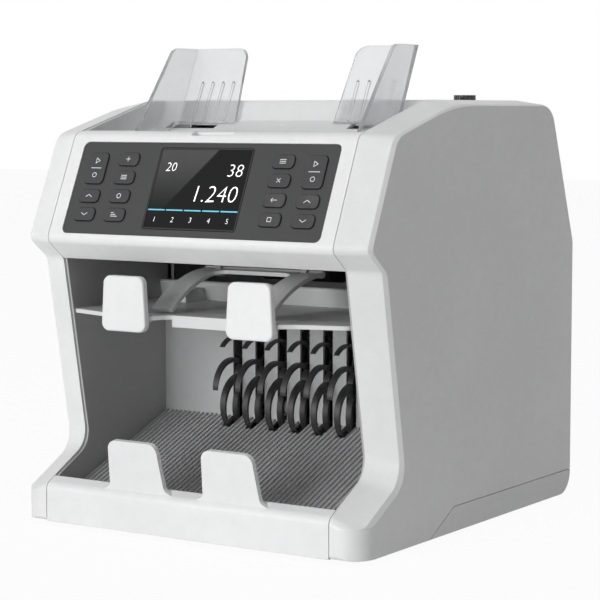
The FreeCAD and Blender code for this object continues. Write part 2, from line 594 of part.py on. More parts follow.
def reject_stop(x):
    top, low = STOP_TOP_W / 2, STOP_LOW_W / 2
    points = [(-low, STOP_LOW), (-top, STOP_HIGH), (top, STOP_HIGH), (low, STOP_LOW)]
    paddle = prism(points, STOP_CORNER, "y", STOP_FACE_Y, STOP_FACE_Y + STOP_THICK)
    rim = [e for e in paddle.Edges if all(abs(v.Y - STOP_FACE_Y) < 1e-6 for v in e.Vertexes)]
    paddle = paddle.makeFillet(1.2, rim)
    hinge_y, hinge_z = stop_hinge()
    half = STOP_BARREL_W / 2
    barrel = rod("x", hinge_y, hinge_z, STOP_BARREL_R, -half, half)
    neck = box(-half, half, STOP_FACE_Y + STOP_THICK - 1, hinge_y, hinge_z - 1.2, hinge_z + 1.2)
    pin = rod("x", hinge_y, hinge_z, STOP_PIN_R, -half - STOP_EAR, half + STOP_EAR)
    return fuse(paddle, neck, barrel, pin).translated(V(x, 0, 0))


def stacker_back_plate():
    low = pocket_z(BACK_Y) - FLOOR_THICK
    high = TRAY_Z - TRAY_THICK - SEAM
    back = box(-LINER_INNER, LINER_INNER, BACK_Y, BACK_Y + BACK_THICK, low, high)
    return back.cut(wheel_slots(1.5))


def hopper_tray():
    inner_rear = STEM_Y + GUIDE_THICK + 3
    lean = math.tan(TILT)
    top = HEIGHT - 0.6
    drop = HOPPER_WALL / math.cos(TILT)
    outer_rear = inner_rear + drop
    rim = SHOULDER_Y
    outer = [(HOPPER_FRONT, shoulder_z(HOPPER_FRONT) - 0.6), (rim, top),
             (outer_rear + (top - floor_z(outer_rear)) * lean, top), (outer_rear, floor_z(outer_rear) - drop),
             (HOPPER_FRONT, floor_z(HOPPER_FRONT) - drop)]
    block = prism(outer, 0, "x", -SKIN_HALF, SKIN_HALF)
    high = HEIGHT + 20
    inner = [(HOPPER_INNER, high), (inner_rear + (high - floor_z(inner_rear)) * lean, high),
             (inner_rear, floor_z(inner_rear)), (HOPPER_INNER, floor_z(HOPPER_INNER))]
    wide = SKIN_HALF - 2
    tray = block.cut(prism(inner, [0, 0, 3, 0], "x", -wide, wide))
    pin_z = BLOCK_Z - 2
    boss = rod("z", 0, BLOCK_Y, 4.0, pin_z + 1, floor_z(BLOCK_Y) - 1)
    pin = rod("z", 0, BLOCK_Y, 2.0, pin_z - 7, pin_z + 2)
    head = rod("z", 0, BLOCK_Y, 3.4, pin_z - 7.5, pin_z - 6.1)
    cuts = [box(-wide + 6, wide - 6, HOPPER_INNER, HOPPER_INNER + 7.5, HOPPER_LOW - 20, HOPPER_LOW + 8)]
    for x in (-FEED_X, FEED_X):
        half = FEED_W / 2 + 1.5
        cuts.append(rod("x", FEED_Y, FEED_Z, FEED_R + 1.2, x - half, x + half))
    for side in (-1, 1):
        ends = sorted((side * (GUIDE_X - 13 - GUIDE_IN), side * (GUIDE_X + GUIDE_OUT + 1)))
        cuts.append(box(ends[0], ends[1], STEM_Y - 5, STEM_Y + 4.5, STEM_Z - 8, STEM_Z + 4))
    return fuse(tray.cut(cuts), boss, pin, head)


def hopper_guide():
    """The right-hand guide without its rack: an upright angle of clear plastic on a slider block."""
    clear = 0.8
    front_low = lean_foot(GUIDE_FRONT_Y, GUIDE_TOP_Z, math.tan(math.radians(GUIDE_FRONT_LEAN)))
    across = (GUIDE_THICK * math.cos(TILT), GUIDE_THICK * math.sin(TILT))
    low = (STEM_Y, STEM_Z + clear)
    low_back = (low[0] + across[0], low[1] + across[1])
    top = (GUIDE_TOP_Y, GUIDE_TOP_Z)
    top_back = (top[0] + GUIDE_THICK / math.cos(TILT), GUIDE_TOP_Z)
    wing = prism([(front_low, floor_z(front_low) + clear), (GUIDE_FRONT_Y, GUIDE_TOP_Z), top_back, low_back],
                 [1, 9, 3, 0], "x", GUIDE_X - GUIDE_THICK, GUIDE_X)
    narrow = 5.0
    curtain = prism([(GUIDE_INNER - narrow, low[1] - 3), (GUIDE_INNER, GUIDE_TOP_Z), (GUIDE_X, GUIDE_TOP_Z),
                     (GUIDE_X, low[1] - 3)], [2, 8, 0, 0], "y", 0, GUIDE_TOP_Y + 20)
    back = prism([low, top, top_back, low_back], 0, "x", 0, GUIDE_X).common(curtain)
    ribs = []
    share = 0.55
    rise = ((top_back[0] - low_back[0]) * share, (top_back[1] - low_back[1]) * share)
    for i in range(4):
        x = GUIDE_INNER + 5 + i * 8
        start = (low_back[0] - 0.5, low_back[1])
        rib = [start, (start[0] + rise[0], start[1] + rise[1]),
               (start[0] + rise[0] + 1.2, start[1] + rise[1] - 2),
               (start[0] + 1.5, start[1] + 0.7)]
        ribs.append(prism(rib, 0, "x", x - 0.8, x + 0.8))
    stem_low = BLOCK_Z + GUIDE_ROD_R + 0.6
    sink = (low[1] - stem_low + 1) / math.cos(TILT)
    stem_points = [(p[0] - (sink - k) * math.sin(TILT), p[1] - (sink - k) * math.cos(TILT))
                   for p, k in ((low, 0), (low, sink + 1), (low_back, sink + 1), (low_back, 0))]
    stem = prism(stem_points, 0, "x", GUIDE_X - 12, GUIDE_X)
    block = box(GUIDE_X - 8, GUIDE_X + 8, BLOCK_Y - 12, BLOCK_Y + 12, BLOCK_Z - 8, BLOCK_Z + 4)
    bores = [rod("x", y, BLOCK_Z, GUIDE_ROD_R + 2 * RUN_FIT, 0, HALF) for y in rod_ys()]
    return fuse(wing, back, stem, block, *ribs).cut(bores)


def right_hopper_guide():
    return fuse(hopper_guide(), rack())


def left_hopper_guide():
    turned_rack = rack()
    turned_rack.rotate(V(0, BLOCK_Y, 0), V(0, 0, 1), 180)
    return fuse(mirrored(hopper_guide()), turned_rack)


def rod_ys():
    return BLOCK_Y - 7.0, BLOCK_Y + 7.0


def rack():
    """The right-hand guide's rack, which runs behind the pinion."""
    low, high = BLOCK_Z - 8, BLOCK_Z - 3.4
    pitch = math.pi * RACK_MODULE
    line = BLOCK_Y + PINION_R
    bar = box(-20 - GUIDE_OUT, GUIDE_X - 7, line + 1.25 * RACK_MODULE, BLOCK_Y + 12, low, high)
    root, tip = pitch / 4 + 0.35 - RACK_BACKLASH / 4, pitch / 4 - 0.35 - RACK_BACKLASH / 4
    teeth = []
    for i in range(-7, 13):
        x = (i + 0.5) * pitch
        points = [(x - root, line + 1.3), (x - tip, line - 0.9), (x + tip, line - 0.9),
                  (x + root, line + 1.3)]
        teeth.append(prism(points, 0, "z", low, high))
    return fuse(bar, *teeth)


def guide_pinion():
    low, high = BLOCK_Z - 7.8, BLOCK_Z - 3.6
    hub = rod("z", 0, BLOCK_Y, PINION_R - 1.25 * RACK_MODULE, low, high)
    thick = math.pi * RACK_MODULE / 4 - RACK_BACKLASH / 4
    teeth = []
    for i in range(PINION_TEETH):
        points = [(-thick - 0.3, PINION_R - 2), (-thick + 0.35, PINION_R + 0.85),
                  (thick - 0.35, PINION_R + 0.85),
                  (thick + 0.3, PINION_R - 2)]
        tooth = prism(points, 0, "z", low, high)
        tooth.rotate(V(0, 0, 0), V(0, 0, 1), i * 360 / PINION_TEETH)
        teeth.append(tooth.translated(V(0, BLOCK_Y, 0)))
    return fuse(hub, *teeth).cut(rod("z", 0, BLOCK_Y, 2.0 + RUN_FIT, low - 1, high + 1))


def top_cover():
    front = guide_y(HEIGHT) + GUIDE_THICK + 6
    line = [(front, HEIGHT), (REAR_TOP_Y, HEIGHT), (DEPTH, REAR_KINK_Z)]
    sheet = prism(sheet_outline(line, WALL), [1, INNER_RADII[7], 0, 0, INNER_RADII[7] - WALL, 0],
                  "x", -SKIN_HALF, SKIN_HALF)
    boss = rod("z", SCREW_X, SCREW_Y, 6.0, HEIGHT - 10, HEIGHT - 1)
    below = box(-HALF, HALF, REAR_TOP_Y, DEPTH + 1, DOOR_Z, REAR_KINK_Z)
    return fuse(sheet, boss).cut([below, rod("z", SCREW_X, SCREW_Y, 2.5 + RUN_FIT, HEIGHT - 12, HEIGHT + 1)])


def gap_screw():
    low = HEIGHT + TOUCH_GAP
    head = rod("z", SCREW_X, SCREW_Y, SCREW_HEAD_R, low, low + 3.2)
    flutes = []
    for i in range(18):
        angle = 2 * math.pi * i / 18
        reach = SCREW_HEAD_R + 0.35
        flutes.append(rod("z", SCREW_X + reach * math.cos(angle), SCREW_Y + reach * math.sin(angle), 0.8,
                          low - 1, low + 5))
    dish = rod("z", SCREW_X, SCREW_Y, SCREW_HEAD_R - 2, low + 2.6, low + 5)
    mark = box(SCREW_X - 0.6, SCREW_X + 0.6, SCREW_Y - 4, SCREW_Y + 4, low + 2, low + 5)
    stem = rod("z", SCREW_X, SCREW_Y, 2.5, HEIGHT - 16, low + 1)
    return fuse(head.cut(flutes + [dish, mark]), stem)


def frame_plate():
    """The left-hand frame plate, with a foot bent inwards."""
    front = BACK_Y + BACK_THICK + 3
    arm = ROOF_Z + 2
    rear = DEPTH - WALL - SEAM
    roof = HEIGHT - WALL
    cover = inset([(SHOULDER_Y, HEIGHT), (REAR_TOP_Y, HEIGHT), (DEPTH, REAR_KINK_Z), (DEPTH, 0)],
                  [WALL, WALL, WALL + SEAM], False)
    drop = HOPPER_WALL / math.cos(TILT) + SEAM
    slant_y = BROW_Y + 7.0
    tray_rear = guide_y(HEIGHT) + GUIDE_THICK + 8
    points = [(front, WALL), (front, arm), (slant_y, arm), (HOPPER_FRONT + 0.6, floor_z(HOPPER_FRONT) - drop),
              (BLOCK_Y - 14, floor_z(BLOCK_Y - 14) - drop), (tray_rear, floor_z(BLOCK_Y - 14) - drop),
              (tray_rear, roof), cover[1], cover[2], (rear, WALL)]
    radii = [0, 6, 3, 3, 3, 3, 3, INNER_RADII[7] - WALL, 0, 0]
    plate_solid = prism(points, radii, "x", -FRAME_X - FRAME_THICK, -FRAME_X)
    foot = box(-FRAME_X - FRAME_THICK, -FRAME_X + 16, front + 8, rear - 30, WALL, WALL + FRAME_THICK)
    cuts = [rod("x", y, z, BUSH_R + RUN_FIT, -HALF, 0) for y, z in shaft_spots()]
    cuts += [rod("x", RETARD_Y, RETARD_Z, RETARD_SHAFT_R + RUN_FIT, -HALF, 0),
             rod("x", GATE_Y, GATE_Z, GATE_SHAFT_R + RUN_FIT, -HALF, 0),
             rod("x", DOOR_Y, DOOR_Z, DOOR_PIN_R + RUN_FIT, -HALF, 0)]
    cuts += [rod("z", x, y, 1.5 + RUN_FIT, 0, WALL + 5) for x, y in screw_spots()]
    return fuse(plate_solid, foot).cut(cuts)


def left_frame_plate():
    return frame_plate().cut(rod("x", MOTOR_Y, MOTOR_Z, 8.0 + RUN_FIT, -HALF, 0))


def shaft_spots():
    return [(FEED_Y, FEED_Z), (DRIVE_Y, DRIVE_Z), (TURN_Y, TURN_Z), (STACKER_Y, STACKER_Z)]


def shaft_bushes():
    bushes = []
    for y, z in shaft_spots():
        for side in (-1, 1):
            inner, outer = side * (FRAME_X - BUSH_FLANGE), side * (FRAME_X + FRAME_THICK)
            face = side * FRAME_X
            profile = [(inner, SHAFT_R + RUN_FIT), (inner, BUSH_R + 2), (face, BUSH_R + 2), (face, BUSH_R),
                       (outer, BUSH_R), (outer, SHAFT_R + RUN_FIT)]
            bushes.append(turned(profile, y, z))
    return Part.makeCompound(bushes)


def cross_rods():
    rods = [rod("x", y, z, 4.0, -FRAME_X, FRAME_X) for y, z in
            ((NOSE_Y + 36, ROOF_Z + 11), (DEPTH - 30, TURN_Z + 40), (DEPTH - 20, MOTOR_Z),
             (STACKER_Y, WALL + 8))]
    rods += [rod("x", y, BLOCK_Z, GUIDE_ROD_R, -FRAME_X, FRAME_X) for y in rod_ys()]
    return Part.makeCompound(rods)


def pulley(radius, start):
    """A flanged pulley around a belt that starts at the given distance from the middle."""
    low, high = -start - BELT_WIDTH - 0.6, -start + 0.6
    rim = radius + BELT_THICK + 0.9
    return [(high, 0), (high, rim), (high - 0.4, rim), (high - 0.4, radius), (low + 0.4, radius),
            (low + 0.4, rim), (low, rim), (low, 0)]


def drive_shaft(y, z, end, pulleys, rollers):
    """A shaft along x with pulleys at its left end and rollers as (place, width, radius)."""
    shaft = rod("x", y, z, SHAFT_R, -end, FRAME_X + FRAME_THICK + 1)
    extras = [turned(pulley(radius, start), y, z) for radius, start in pulleys]
    extras += [rod("x", y, z, r, x - w / 2, x + w / 2) for x, w, r in rollers]
    return fuse(shaft, *extras)


def feed_shaft():
    return drive_shaft(FEED_Y, FEED_Z, SHAFT_END, [(PULLEY_FEED, BELT_B)], [])


def tyre(x, width, radius, y, z):
    low, high = x - width / 2, x + width / 2
    bore = SHAFT_R + RUN_FIT
    return turned([(low, bore), (low, radius - 1), (low + 1, radius), (high - 1, radius), (high, radius - 1),
                   (high, bore)], y, z)


def feed_rollers():
    return Part.makeCompound([tyre(x, FEED_W, FEED_R, FEED_Y, FEED_Z) for x in (-FEED_X, FEED_X)])


def retard_roller():
    reach = FRAME_X + FRAME_THICK
    half = FEED_W / 2 - 1
    shaft = rod("x", RETARD_Y, RETARD_Z, RETARD_SHAFT_R, -reach, reach)
    rollers = [rod("x", RETARD_Y, RETARD_Z, RETARD_R, x - half, x + half) for x in (-FEED_X, FEED_X)]
    return fuse(shaft, *rollers)


def drive_roller_shaft():
    rollers = [(x, DRIVE_W, DRIVE_R) for x in (-OUTER_ROLLERS, -FEED_X, FEED_X, OUTER_ROLLERS)]
    return drive_shaft(DRIVE_Y, DRIVE_Z, SHAFT_END, [(PULLEY_FEED, BELT_B)], rollers)


def turn_drum():
    rollers = [(x, TURN_W, TURN_R) for x in (-OUTER_ROLLERS, -FEED_X, FEED_X, OUTER_ROLLERS)]
    return drive_shaft(TURN_Y, TURN_Z, SHAFT_END, [(PULLEY_TURN, BELT_A), (PULLEY_FEED, BELT_B)], rollers)


def stacker_shaft():
    return drive_shaft(STACKER_Y, STACKER_Z, BELT_A + BELT_WIDTH + 1.2, [(PULLEY_STACKER, BELT_A)], [])


def polar(radius, degrees):
    angle = math.radians(degrees)
    return V(0, radius * math.cos(angle), radius * math.sin(angle))


def wheel_finger(start):
    """One curved finger of a stacker wheel, thinning to its tip."""
    root, middle = WHEEL_HUB - 2, (WHEEL_HUB + WHEEL_R) / 2
    outer = [polar(root, start), polar(middle, start + 17), polar(WHEEL_R, start + 52)]
    inner = [polar(root, start - 18), polar(middle, start + 9), polar(WHEEL_R, start + 48)]
    edges = [Part.Arc(*outer).toShape(), Part.makeLine(outer[2], inner[2]), Part.Arc(*inner[::-1]).toShape(),
             Part.makeLine(inner[0], outer[0])]
    return Part.Face(Part.Wire(edges)).extrude(V(WHEEL_W, 0, 0))


def stacker_wheel():
    hub = rod("x", 0, 0, WHEEL_HUB, 0, WHEEL_W)
    fingers = [wheel_finger(i * 360 / WHEEL_FINGERS) for i in range(WHEEL_FINGERS)]
    wheel = fuse(hub, *fingers).cut(rod("x", 0, 0, SHAFT_R + RUN_FIT, -1, WHEEL_W + 1))
    return wheel.translated(V(-WHEEL_W / 2, STACKER_Y, STACKER_Z))


def stacker_wheels():
    wheel = stacker_wheel()
    return Part.makeCompound([wheel.translated(V(x, 0, 0)) for x in WHEEL_XS])


def belt_loop(circles, grow, start):
    """A flat loop stretched around circles given as (y, z, radius), in order around the loop."""
    edges = []
    ends = []
    count = len(circles)
    for i in range(count):
        y0, z0, r0 = circles[i]
        y1, z1, r1 = circles[(i + 1) % count]
        heading = math.atan2(z1 - z0, y1 - y0)
        lean = math.acos((r0 - r1) / math.hypot(y1 - y0, z1 - z0))
        normal = heading - lean
        step = V(0, math.cos(normal), math.sin(normal))
        ends.append((V(-start, y0, z0) + step * (r0 + grow), V(-start, y1, z1) + step * (r1 + grow), normal))
    for i in range(count):
        first, last, normal = ends[i]
        edges.append(Part.makeLine(first, last))
        y, z, r = circles[(i + 1) % count]
        after = ends[(i + 1) % count]
        sweep = (after[2] - normal) % (2 * math.pi)
        angle = normal + sweep / 2
        middle = V(-start, y, z) + V(0, math.cos(angle), math.sin(angle)) * (r + grow)
        edges.append(Part.Arc(last, middle, after[0]).toShape())
    return Part.Face(Part.Wire(edges)).extrude(V(-BELT_WIDTH + 0.6, 0, 0))


def belt(circles, start):
    start = start + 0.3
    outer = belt_loop(circles, TOUCH_GAP + BELT_THICK, start)
    return outer.cut(belt_loop(circles, TOUCH_GAP, start))


def drive_belts():
    main = [(STACKER_Y, STACKER_Z, PULLEY_STACKER), (MOTOR_Y, MOTOR_Z, PULLEY_MOTOR),
            (TURN_Y, TURN_Z, PULLEY_TURN)]
    feed = [(FEED_Y, FEED_Z, PULLEY_FEED), (DRIVE_Y, DRIVE_Z, PULLEY_FEED), (TURN_Y, TURN_Z, PULLEY_FEED)]
    return Part.makeCompound([belt(main, BELT_A), belt(feed, BELT_B)])


def main_motor():
    low, high = -FRAME_X, -FRAME_X + MOTOR_LENGTH
    body = rod("x", MOTOR_Y, MOTOR_Z, MOTOR_R, low, high)
    cap = rod("x", MOTOR_Y, MOTOR_Z, MOTOR_R - 5, high - 1, high + 3)
    rings = [rod("x", MOTOR_Y, MOTOR_Z, MOTOR_R + 1, x, x + 1.2).cut(
        rod("x", MOTOR_Y, MOTOR_Z, MOTOR_R - 0.6, x - 1, x + 3)) for x in (low + 8, high - 8)]
    bore = rod("x", MOTOR_Y, MOTOR_Z, 3.0 + RUN_FIT, low - 1, low + 20)
    return fuse(body, cap).cut(rings + [bore])


def motor_pulley():
    shaft = rod("x", MOTOR_Y, MOTOR_Z, 3.0, -BELT_A - BELT_WIDTH - 1, -FRAME_X + 18)
    return fuse(shaft, turned(pulley(PULLEY_MOTOR, BELT_A), MOTOR_Y, MOTOR_Z))


def reject_gate():
    reach = FRAME_X + FRAME_THICK
    shaft = rod("x", GATE_Y, GATE_Z, GATE_SHAFT_R, -reach, reach)
    points = [(GATE_Y - 5, GATE_Z - 2), (GATE_Y - 5, GATE_Z + 3), (GATE_Y + 4, GATE_Z + 4.6),
              (GATE_Y + GATE_REACH, GATE_Z + 1.2), (GATE_Y + GATE_REACH, GATE_Z + 0.2),
              (GATE_Y + 4, GATE_Z - 3.6)]
    blades = []
    half = FRAME_X - GATE_MARGIN
    for i in range(-4, 5):
        x = i * (half - GATE_BLADE / 2) / 4
        blades.append(prism(points, [1, 1, 6, 0, 0, 6], "x", x - GATE_BLADE / 2, x + GATE_BLADE / 2))
    web = prism([points[0], points[1], (GATE_Y + 4, GATE_Z + 3.5), (GATE_Y + 4, GATE_Z - 2.6)], 0,
                "x", -half, half)
    return fuse(shaft, web, *blades)


def sensor_bar(y0, y1, z0, z1, face):
    """A sensor bar across the note path, with a shallow window strip in its working face."""
    bar = prism(rectangle(y0, y1, z0, z1), 2, "x", -FRAME_X, FRAME_X)
    half = FRAME_X - 9
    return bar.cut(box(-half, half, (y0 + y1) / 2 - 4, (y0 + y1) / 2 + 4, face - 0.6, face + 0.6))


def sensor_bars():
    """The two sensor bars, above and below the note path."""
    path = FEED_Z - FEED_R
    under, over = path - LOWER_SENSOR_GAP, path + SENSOR_GAP
    upper = sensor_bar(FEED_Y + FEED_R + SENSOR_GAP, BLOCK_Y - SENSOR_AHEAD, over, over + UPPER_SENSOR, over)
    lower = sensor_bar(FEED_Y + FEED_R + 1, DRIVE_Y - DRIVE_R - SENSOR_GAP,
                       under - LOWER_SENSOR, under, under)
    return Part.makeCompound([upper, lower])


def board_edges():
    """Left, right, front and rear edges of the mainboard."""
    right = FRAME_X - BOARD_RIGHT
    return right - BOARD_WIDTH, right, BACK_Y + ELECTRICS_FRONT, DEPTH - ELECTRICS_REAR


def board_posts():
    left, right, front, rear = board_edges()
    edge = BOARD_POST_INSET
    return [(x, y) for x in (left + edge, right - edge) for y in (front + edge, rear - edge)]


def mainboard():
    left, right, front, rear = board_edges()
    low = WALL + BOARD_LIFT
    board = box(left, right, front, rear, low, low + BOARD_THICK)
    top = low + BOARD_THICK - 0.1
    chips = ((24, 24, 22, 22, 2.4), (54, 8, 14, 10, 2), (8, 14, 8, 20, 6), (52, 48, 18, 12, 8),
             (10, 42, 10, 16, 3))
    blocks = [box(left + x, left + x + w, front + y, front + y + d, top, top + h) for x, y, w, d, h in chips]
    cans = [rod("z", left + 60, front + y, 4, top, top + 11) for y in (26, 36)]
    return fuse(board, *blocks, *cans)


def power_supply():
    """A folded sheet case with cooling slots in its top."""
    left, right = SUPPLY_LEFT - FRAME_X, SUPPLY_RIGHT
    front, rear = BACK_Y + ELECTRICS_FRONT, DEPTH - ELECTRICS_REAR
    top = WALL + (MOTOR_Z - MOTOR_R - WALL) * SUPPLY_SHARE
    sheet = 2.0
    case = prism(rectangle(left, right, front, rear), sheet, "z", WALL, top)
    inside = prism(rectangle(left + sheet, right - sheet, front + sheet, rear - sheet), 0,
                   "z", WALL + sheet, top - sheet)
    count = int((rear - front - 20) / 9)
    slots = [box(left + 10, right - 10, y, y + 3, top - sheet - 1, top + 1)
             for y in (front + 12 + 9 * i for i in range(count))]
    return case.cut([inside] + slots)


def rear_panel():
    sheet = box(-SKIN_HALF, SKIN_HALF, DEPTH - WALL, DEPTH, 0, DOOR_Z - DOOR_BARREL_R - SEAM)
    vents = [prism(rectangle(x, x + VENT_W, REAR_VENT_LOW, DOOR_Z - REAR_VENT_DROP), VENT_CORNER,
                   "y", DEPTH - 9, DEPTH + 1) for x in vent_row(REAR_VENT_HALF)]
    inlet = prism(around(INLET_X, INLET_Z, INLET_HALF_W, INLET_HALF_H), 2, "y", DEPTH - 9, DEPTH + 1)
    ports = prism(around(PORT_X, PORT_Z, PORT_HALF_W, PORT_HALF_H), 1, "y", DEPTH - 9, DEPTH + 1)
    return sheet.cut(vents + [inlet, ports])


def rear_door():
    top = REAR_KINK_Z - SEAM
    skin = box(-SKIN_HALF, SKIN_HALF, DEPTH - WALL, DEPTH, DOOR_Z + 4, top)
    narrow = FRAME_X - SEAM
    hem = box(-narrow, narrow, DEPTH - WALL, DEPTH, DOOR_Z, DOOR_Z + 5)
    barrel = rod("x", DOOR_Y, DOOR_Z, DOOR_BARREL_R, -narrow, narrow)
    pin = rod("x", DOOR_Y, DOOR_Z, DOOR_PIN_R, -FRAME_X - FRAME_THICK, FRAME_X + FRAME_THICK)
    ribs = [box(x - 1, x + 1, DEPTH - WALL - 7, DEPTH - 1, DOOR_Z + 4, top - 6)
            for x in (9 - FRAME_X, -30, 30, FRAME_X - 9)]
    cup_floor = DEPTH - GRIP_DEPTH - WALL
    cup = rod("y", 0, top + GRIP_RISE, GRIP_R + WALL, cup_floor, DEPTH - WALL)
    cup = cup.common(box(-GRIP_R, GRIP_R, cup_floor, DEPTH, DOOR_Z, top))
    grip = rod("y", 0, top + GRIP_RISE, GRIP_R, DEPTH - GRIP_DEPTH, DEPTH + 1)
    return fuse(skin, hem, barrel, pin, cup, *ribs).cut(grip)


def switch_axis():
    """Centre of the power rocker: across, depth and height."""
    return INLET_X + 14.5, DEPTH - 2.5, INLET_Z


def power_inlet():
    gap = TOUCH_GAP
    flange = prism(around(INLET_X, INLET_Z, INLET_HALF_W + INLET_RIM, INLET_HALF_H + INLET_RIM), 3,
                   "y", DEPTH, DEPTH + INLET_PROUD)
    body = prism(around(INLET_X, INLET_Z, INLET_HALF_W - gap, INLET_HALF_H - gap), 2,
                 "y", DEPTH - 20, DEPTH + 1)
    left, right = INLET_X - 19, INLET_X + 6
    mouth = [(left, INLET_Z - 8.4), (right, INLET_Z - 8.4), (right, INLET_Z + 4), (right - 5, INLET_Z + 8.4),
             (left + 5, INLET_Z + 8.4), (left, INLET_Z + 4)]
    socket = prism(mouth, 1.5, "y", DEPTH - 15, DEPTH + 3)
    middle = (left + right) / 2
    blades = [box(x - 1, x + 1, DEPTH - 16, DEPTH - 2, z - 2, z + 2) for x, z in
              ((middle - 6.5, INLET_Z - 1.5), (middle + 6.5, INLET_Z - 1.5), (middle, INLET_Z + 2.5))]
    x, y, z = switch_axis()
    well = box(x - 5.4, x + 5.4, DEPTH - 13, DEPTH + 3, z - 9.4, z + 9.4)
    pivot = rod("x", y, z, 1.2 + RUN_FIT, x - 6.6, x + 6.6)
    return fuse(fuse(flange, body).cut([socket, well, pivot]), *blades)


def power_switch():
    x, y, z = switch_axis()
    points = [(y + 1.6, z - 8.4), (y + 2.6, z), (y + 1.6, z + 8.4), (y - 3.5, z + 7), (y - 5, z),
              (y - 3.5, z - 7)]
    rocker = prism(points, [0.6, 24, 0.6, 1, 3, 1], "x", x - 5, x + 5)
    rocker = fuse(rocker, rod("x", y, z, 1.2, x - 6.4, x + 6.4))
    rocker.rotate(V(x, y, z), V(1, 0, 0), -7)
    return rocker


def port_block():
    gap = TOUCH_GAP
    block = prism(around(PORT_X, PORT_Z, PORT_HALF_W - gap, PORT_HALF_H - gap), 1,
                  "y", DEPTH - 16, DEPTH + PORT_PROUD)
    mouths = [box(x - w / 2, x + w / 2, DEPTH - 12, DEPTH + 2, PORT_Z - h / 2, PORT_Z + h / 2) for x, w, h in
              ((PORT_X - 12.5, 11, 8), (PORT_X + 1.5, 11, 8), (PORT_X + 14, 8, 8))]
    return block.cut(mouths)


def placed(shape):
    """Moves a piece to the final frame: origin under the middle of the machine, on the ground."""
    return shape.translated(V(0, -MIDDLE, FOOT))


FRONT = -math.sin(math.radians(TAB_LEAN)) * (TAB_Z - LIP_Z + 1) + 3.0
MIDDLE = (FRONT + DEPTH + INLET_PROUD) / 2

NODES = {
    "base_tray": base_tray,
    "rubber_feet": rubber_feet,
    "housing_screws": housing_screws,
    "right_side_panel": side_panel,
    "left_side_panel": lambda: mirrored(side_panel()),
    "front_panel": front_panel,
    "control_insert": control_insert,
    "display_module": display_module,
    "keypad_board": keypad_board,
    "front_lip": front_lip,
    "pocket_floor": pocket_floor,
    "pocket_liner": pocket_liner,
    "hold_down_fork": hold_down_fork,
    "reject_tray": reject_tray,
    "left_reject_stop": lambda: reject_stop(-STOP_X),
    "right_reject_stop": lambda: reject_stop(STOP_X),
    "stacker_back_plate": stacker_back_plate,
    "hopper_tray": hopper_tray,
    "right_hopper_guide": right_hopper_guide,
    "left_hopper_guide": left_hopper_guide,
    "guide_pinion": guide_pinion,
    "top_cover": top_cover,
    "gap_screw": gap_screw,
    "left_frame_plate": left_frame_plate,
    "right_frame_plate": lambda: mirrored(frame_plate()),
    "shaft_bushes": shaft_bushes,
    "cross_rods": cross_rods,
    "feed_shaft": feed_shaft,
    "feed_rollers": feed_rollers,
    "retard_roller": retard_roller,
    "drive_roller_shaft": drive_roller_shaft,
    "turn_drum": turn_drum,
    "stacker_shaft": stacker_shaft,
    "stacker_wheels": stacker_wheels,
    "drive_belts": drive_belts,
    "main_motor": main_motor,
    "motor_pulley": motor_pulley,
    "reject_gate": reject_gate,
    "sensor_bars": sensor_bars,
    "mainboard": mainboard,
    "power_supply": power_supply,
    "rear_panel": rear_panel,
    "rear_door": rear_door,
    "power_inlet": power_inlet,
    "power_switch": power_switch,
    "port_block": port_block,
}

os.makedirs("parts", exist_ok=True)
for name, build in NODES.items():
    placed(build()).exportStep("parts/" + name + ".step")
for name, x, s, width, height in key_table():
    placed(key(x, s, width, height)).exportStep("parts/" + name + ".step")
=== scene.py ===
"""Looks of a desktop banknote counting machine: finishes, printed marks, light and camera."""

import json
import logging
import math
from dataclasses import dataclass, field
from enum import Enum
from typing import Any, Iterable, Sequence

import bpy
from mathutils import Euler, Matrix, Vector


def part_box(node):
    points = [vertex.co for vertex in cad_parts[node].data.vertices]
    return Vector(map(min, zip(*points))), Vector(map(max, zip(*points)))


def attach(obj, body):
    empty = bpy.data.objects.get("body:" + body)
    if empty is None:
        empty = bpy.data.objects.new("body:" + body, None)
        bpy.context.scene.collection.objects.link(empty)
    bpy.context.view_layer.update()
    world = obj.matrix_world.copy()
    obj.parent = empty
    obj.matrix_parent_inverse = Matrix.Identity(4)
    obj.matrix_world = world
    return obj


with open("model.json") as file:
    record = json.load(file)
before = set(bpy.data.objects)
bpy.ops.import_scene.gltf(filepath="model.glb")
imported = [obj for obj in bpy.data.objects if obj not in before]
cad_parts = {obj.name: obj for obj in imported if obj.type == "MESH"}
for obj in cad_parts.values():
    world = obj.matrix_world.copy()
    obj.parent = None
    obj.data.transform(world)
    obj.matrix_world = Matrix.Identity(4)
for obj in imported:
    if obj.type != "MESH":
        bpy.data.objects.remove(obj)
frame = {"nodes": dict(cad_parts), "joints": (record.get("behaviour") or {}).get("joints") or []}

logging.basicConfig(level=logging.INFO, format="%(name)s: %(message)s")
LOG = logging.getLogger("counter")

Colour = tuple[float, float, float]
Point = tuple[float, float]

MM = 0.001
MAIN_BODY = "machine"
RIGHT = Vector((1.0, 0.0, 0.0))
FORWARD = Vector((0.0, -1.0, 0.0))
WHITE: Colour = (1.0, 1.0, 1.0)
BLACK: Colour = (0.0, 0.0, 0.0)
EDGE_SAMPLES = 4
DOT_SCALE = 3600.0


class Axis(Enum):
    """An axis of the shared frame, by its place in a vector."""

    X = 0
    Y = 1
    Z = 2


class Align(Enum):
    """How a line of numerals is set against its point."""

    LEFT = "LEFT"
    CENTRE = "CENTER"
    RIGHT = "RIGHT"


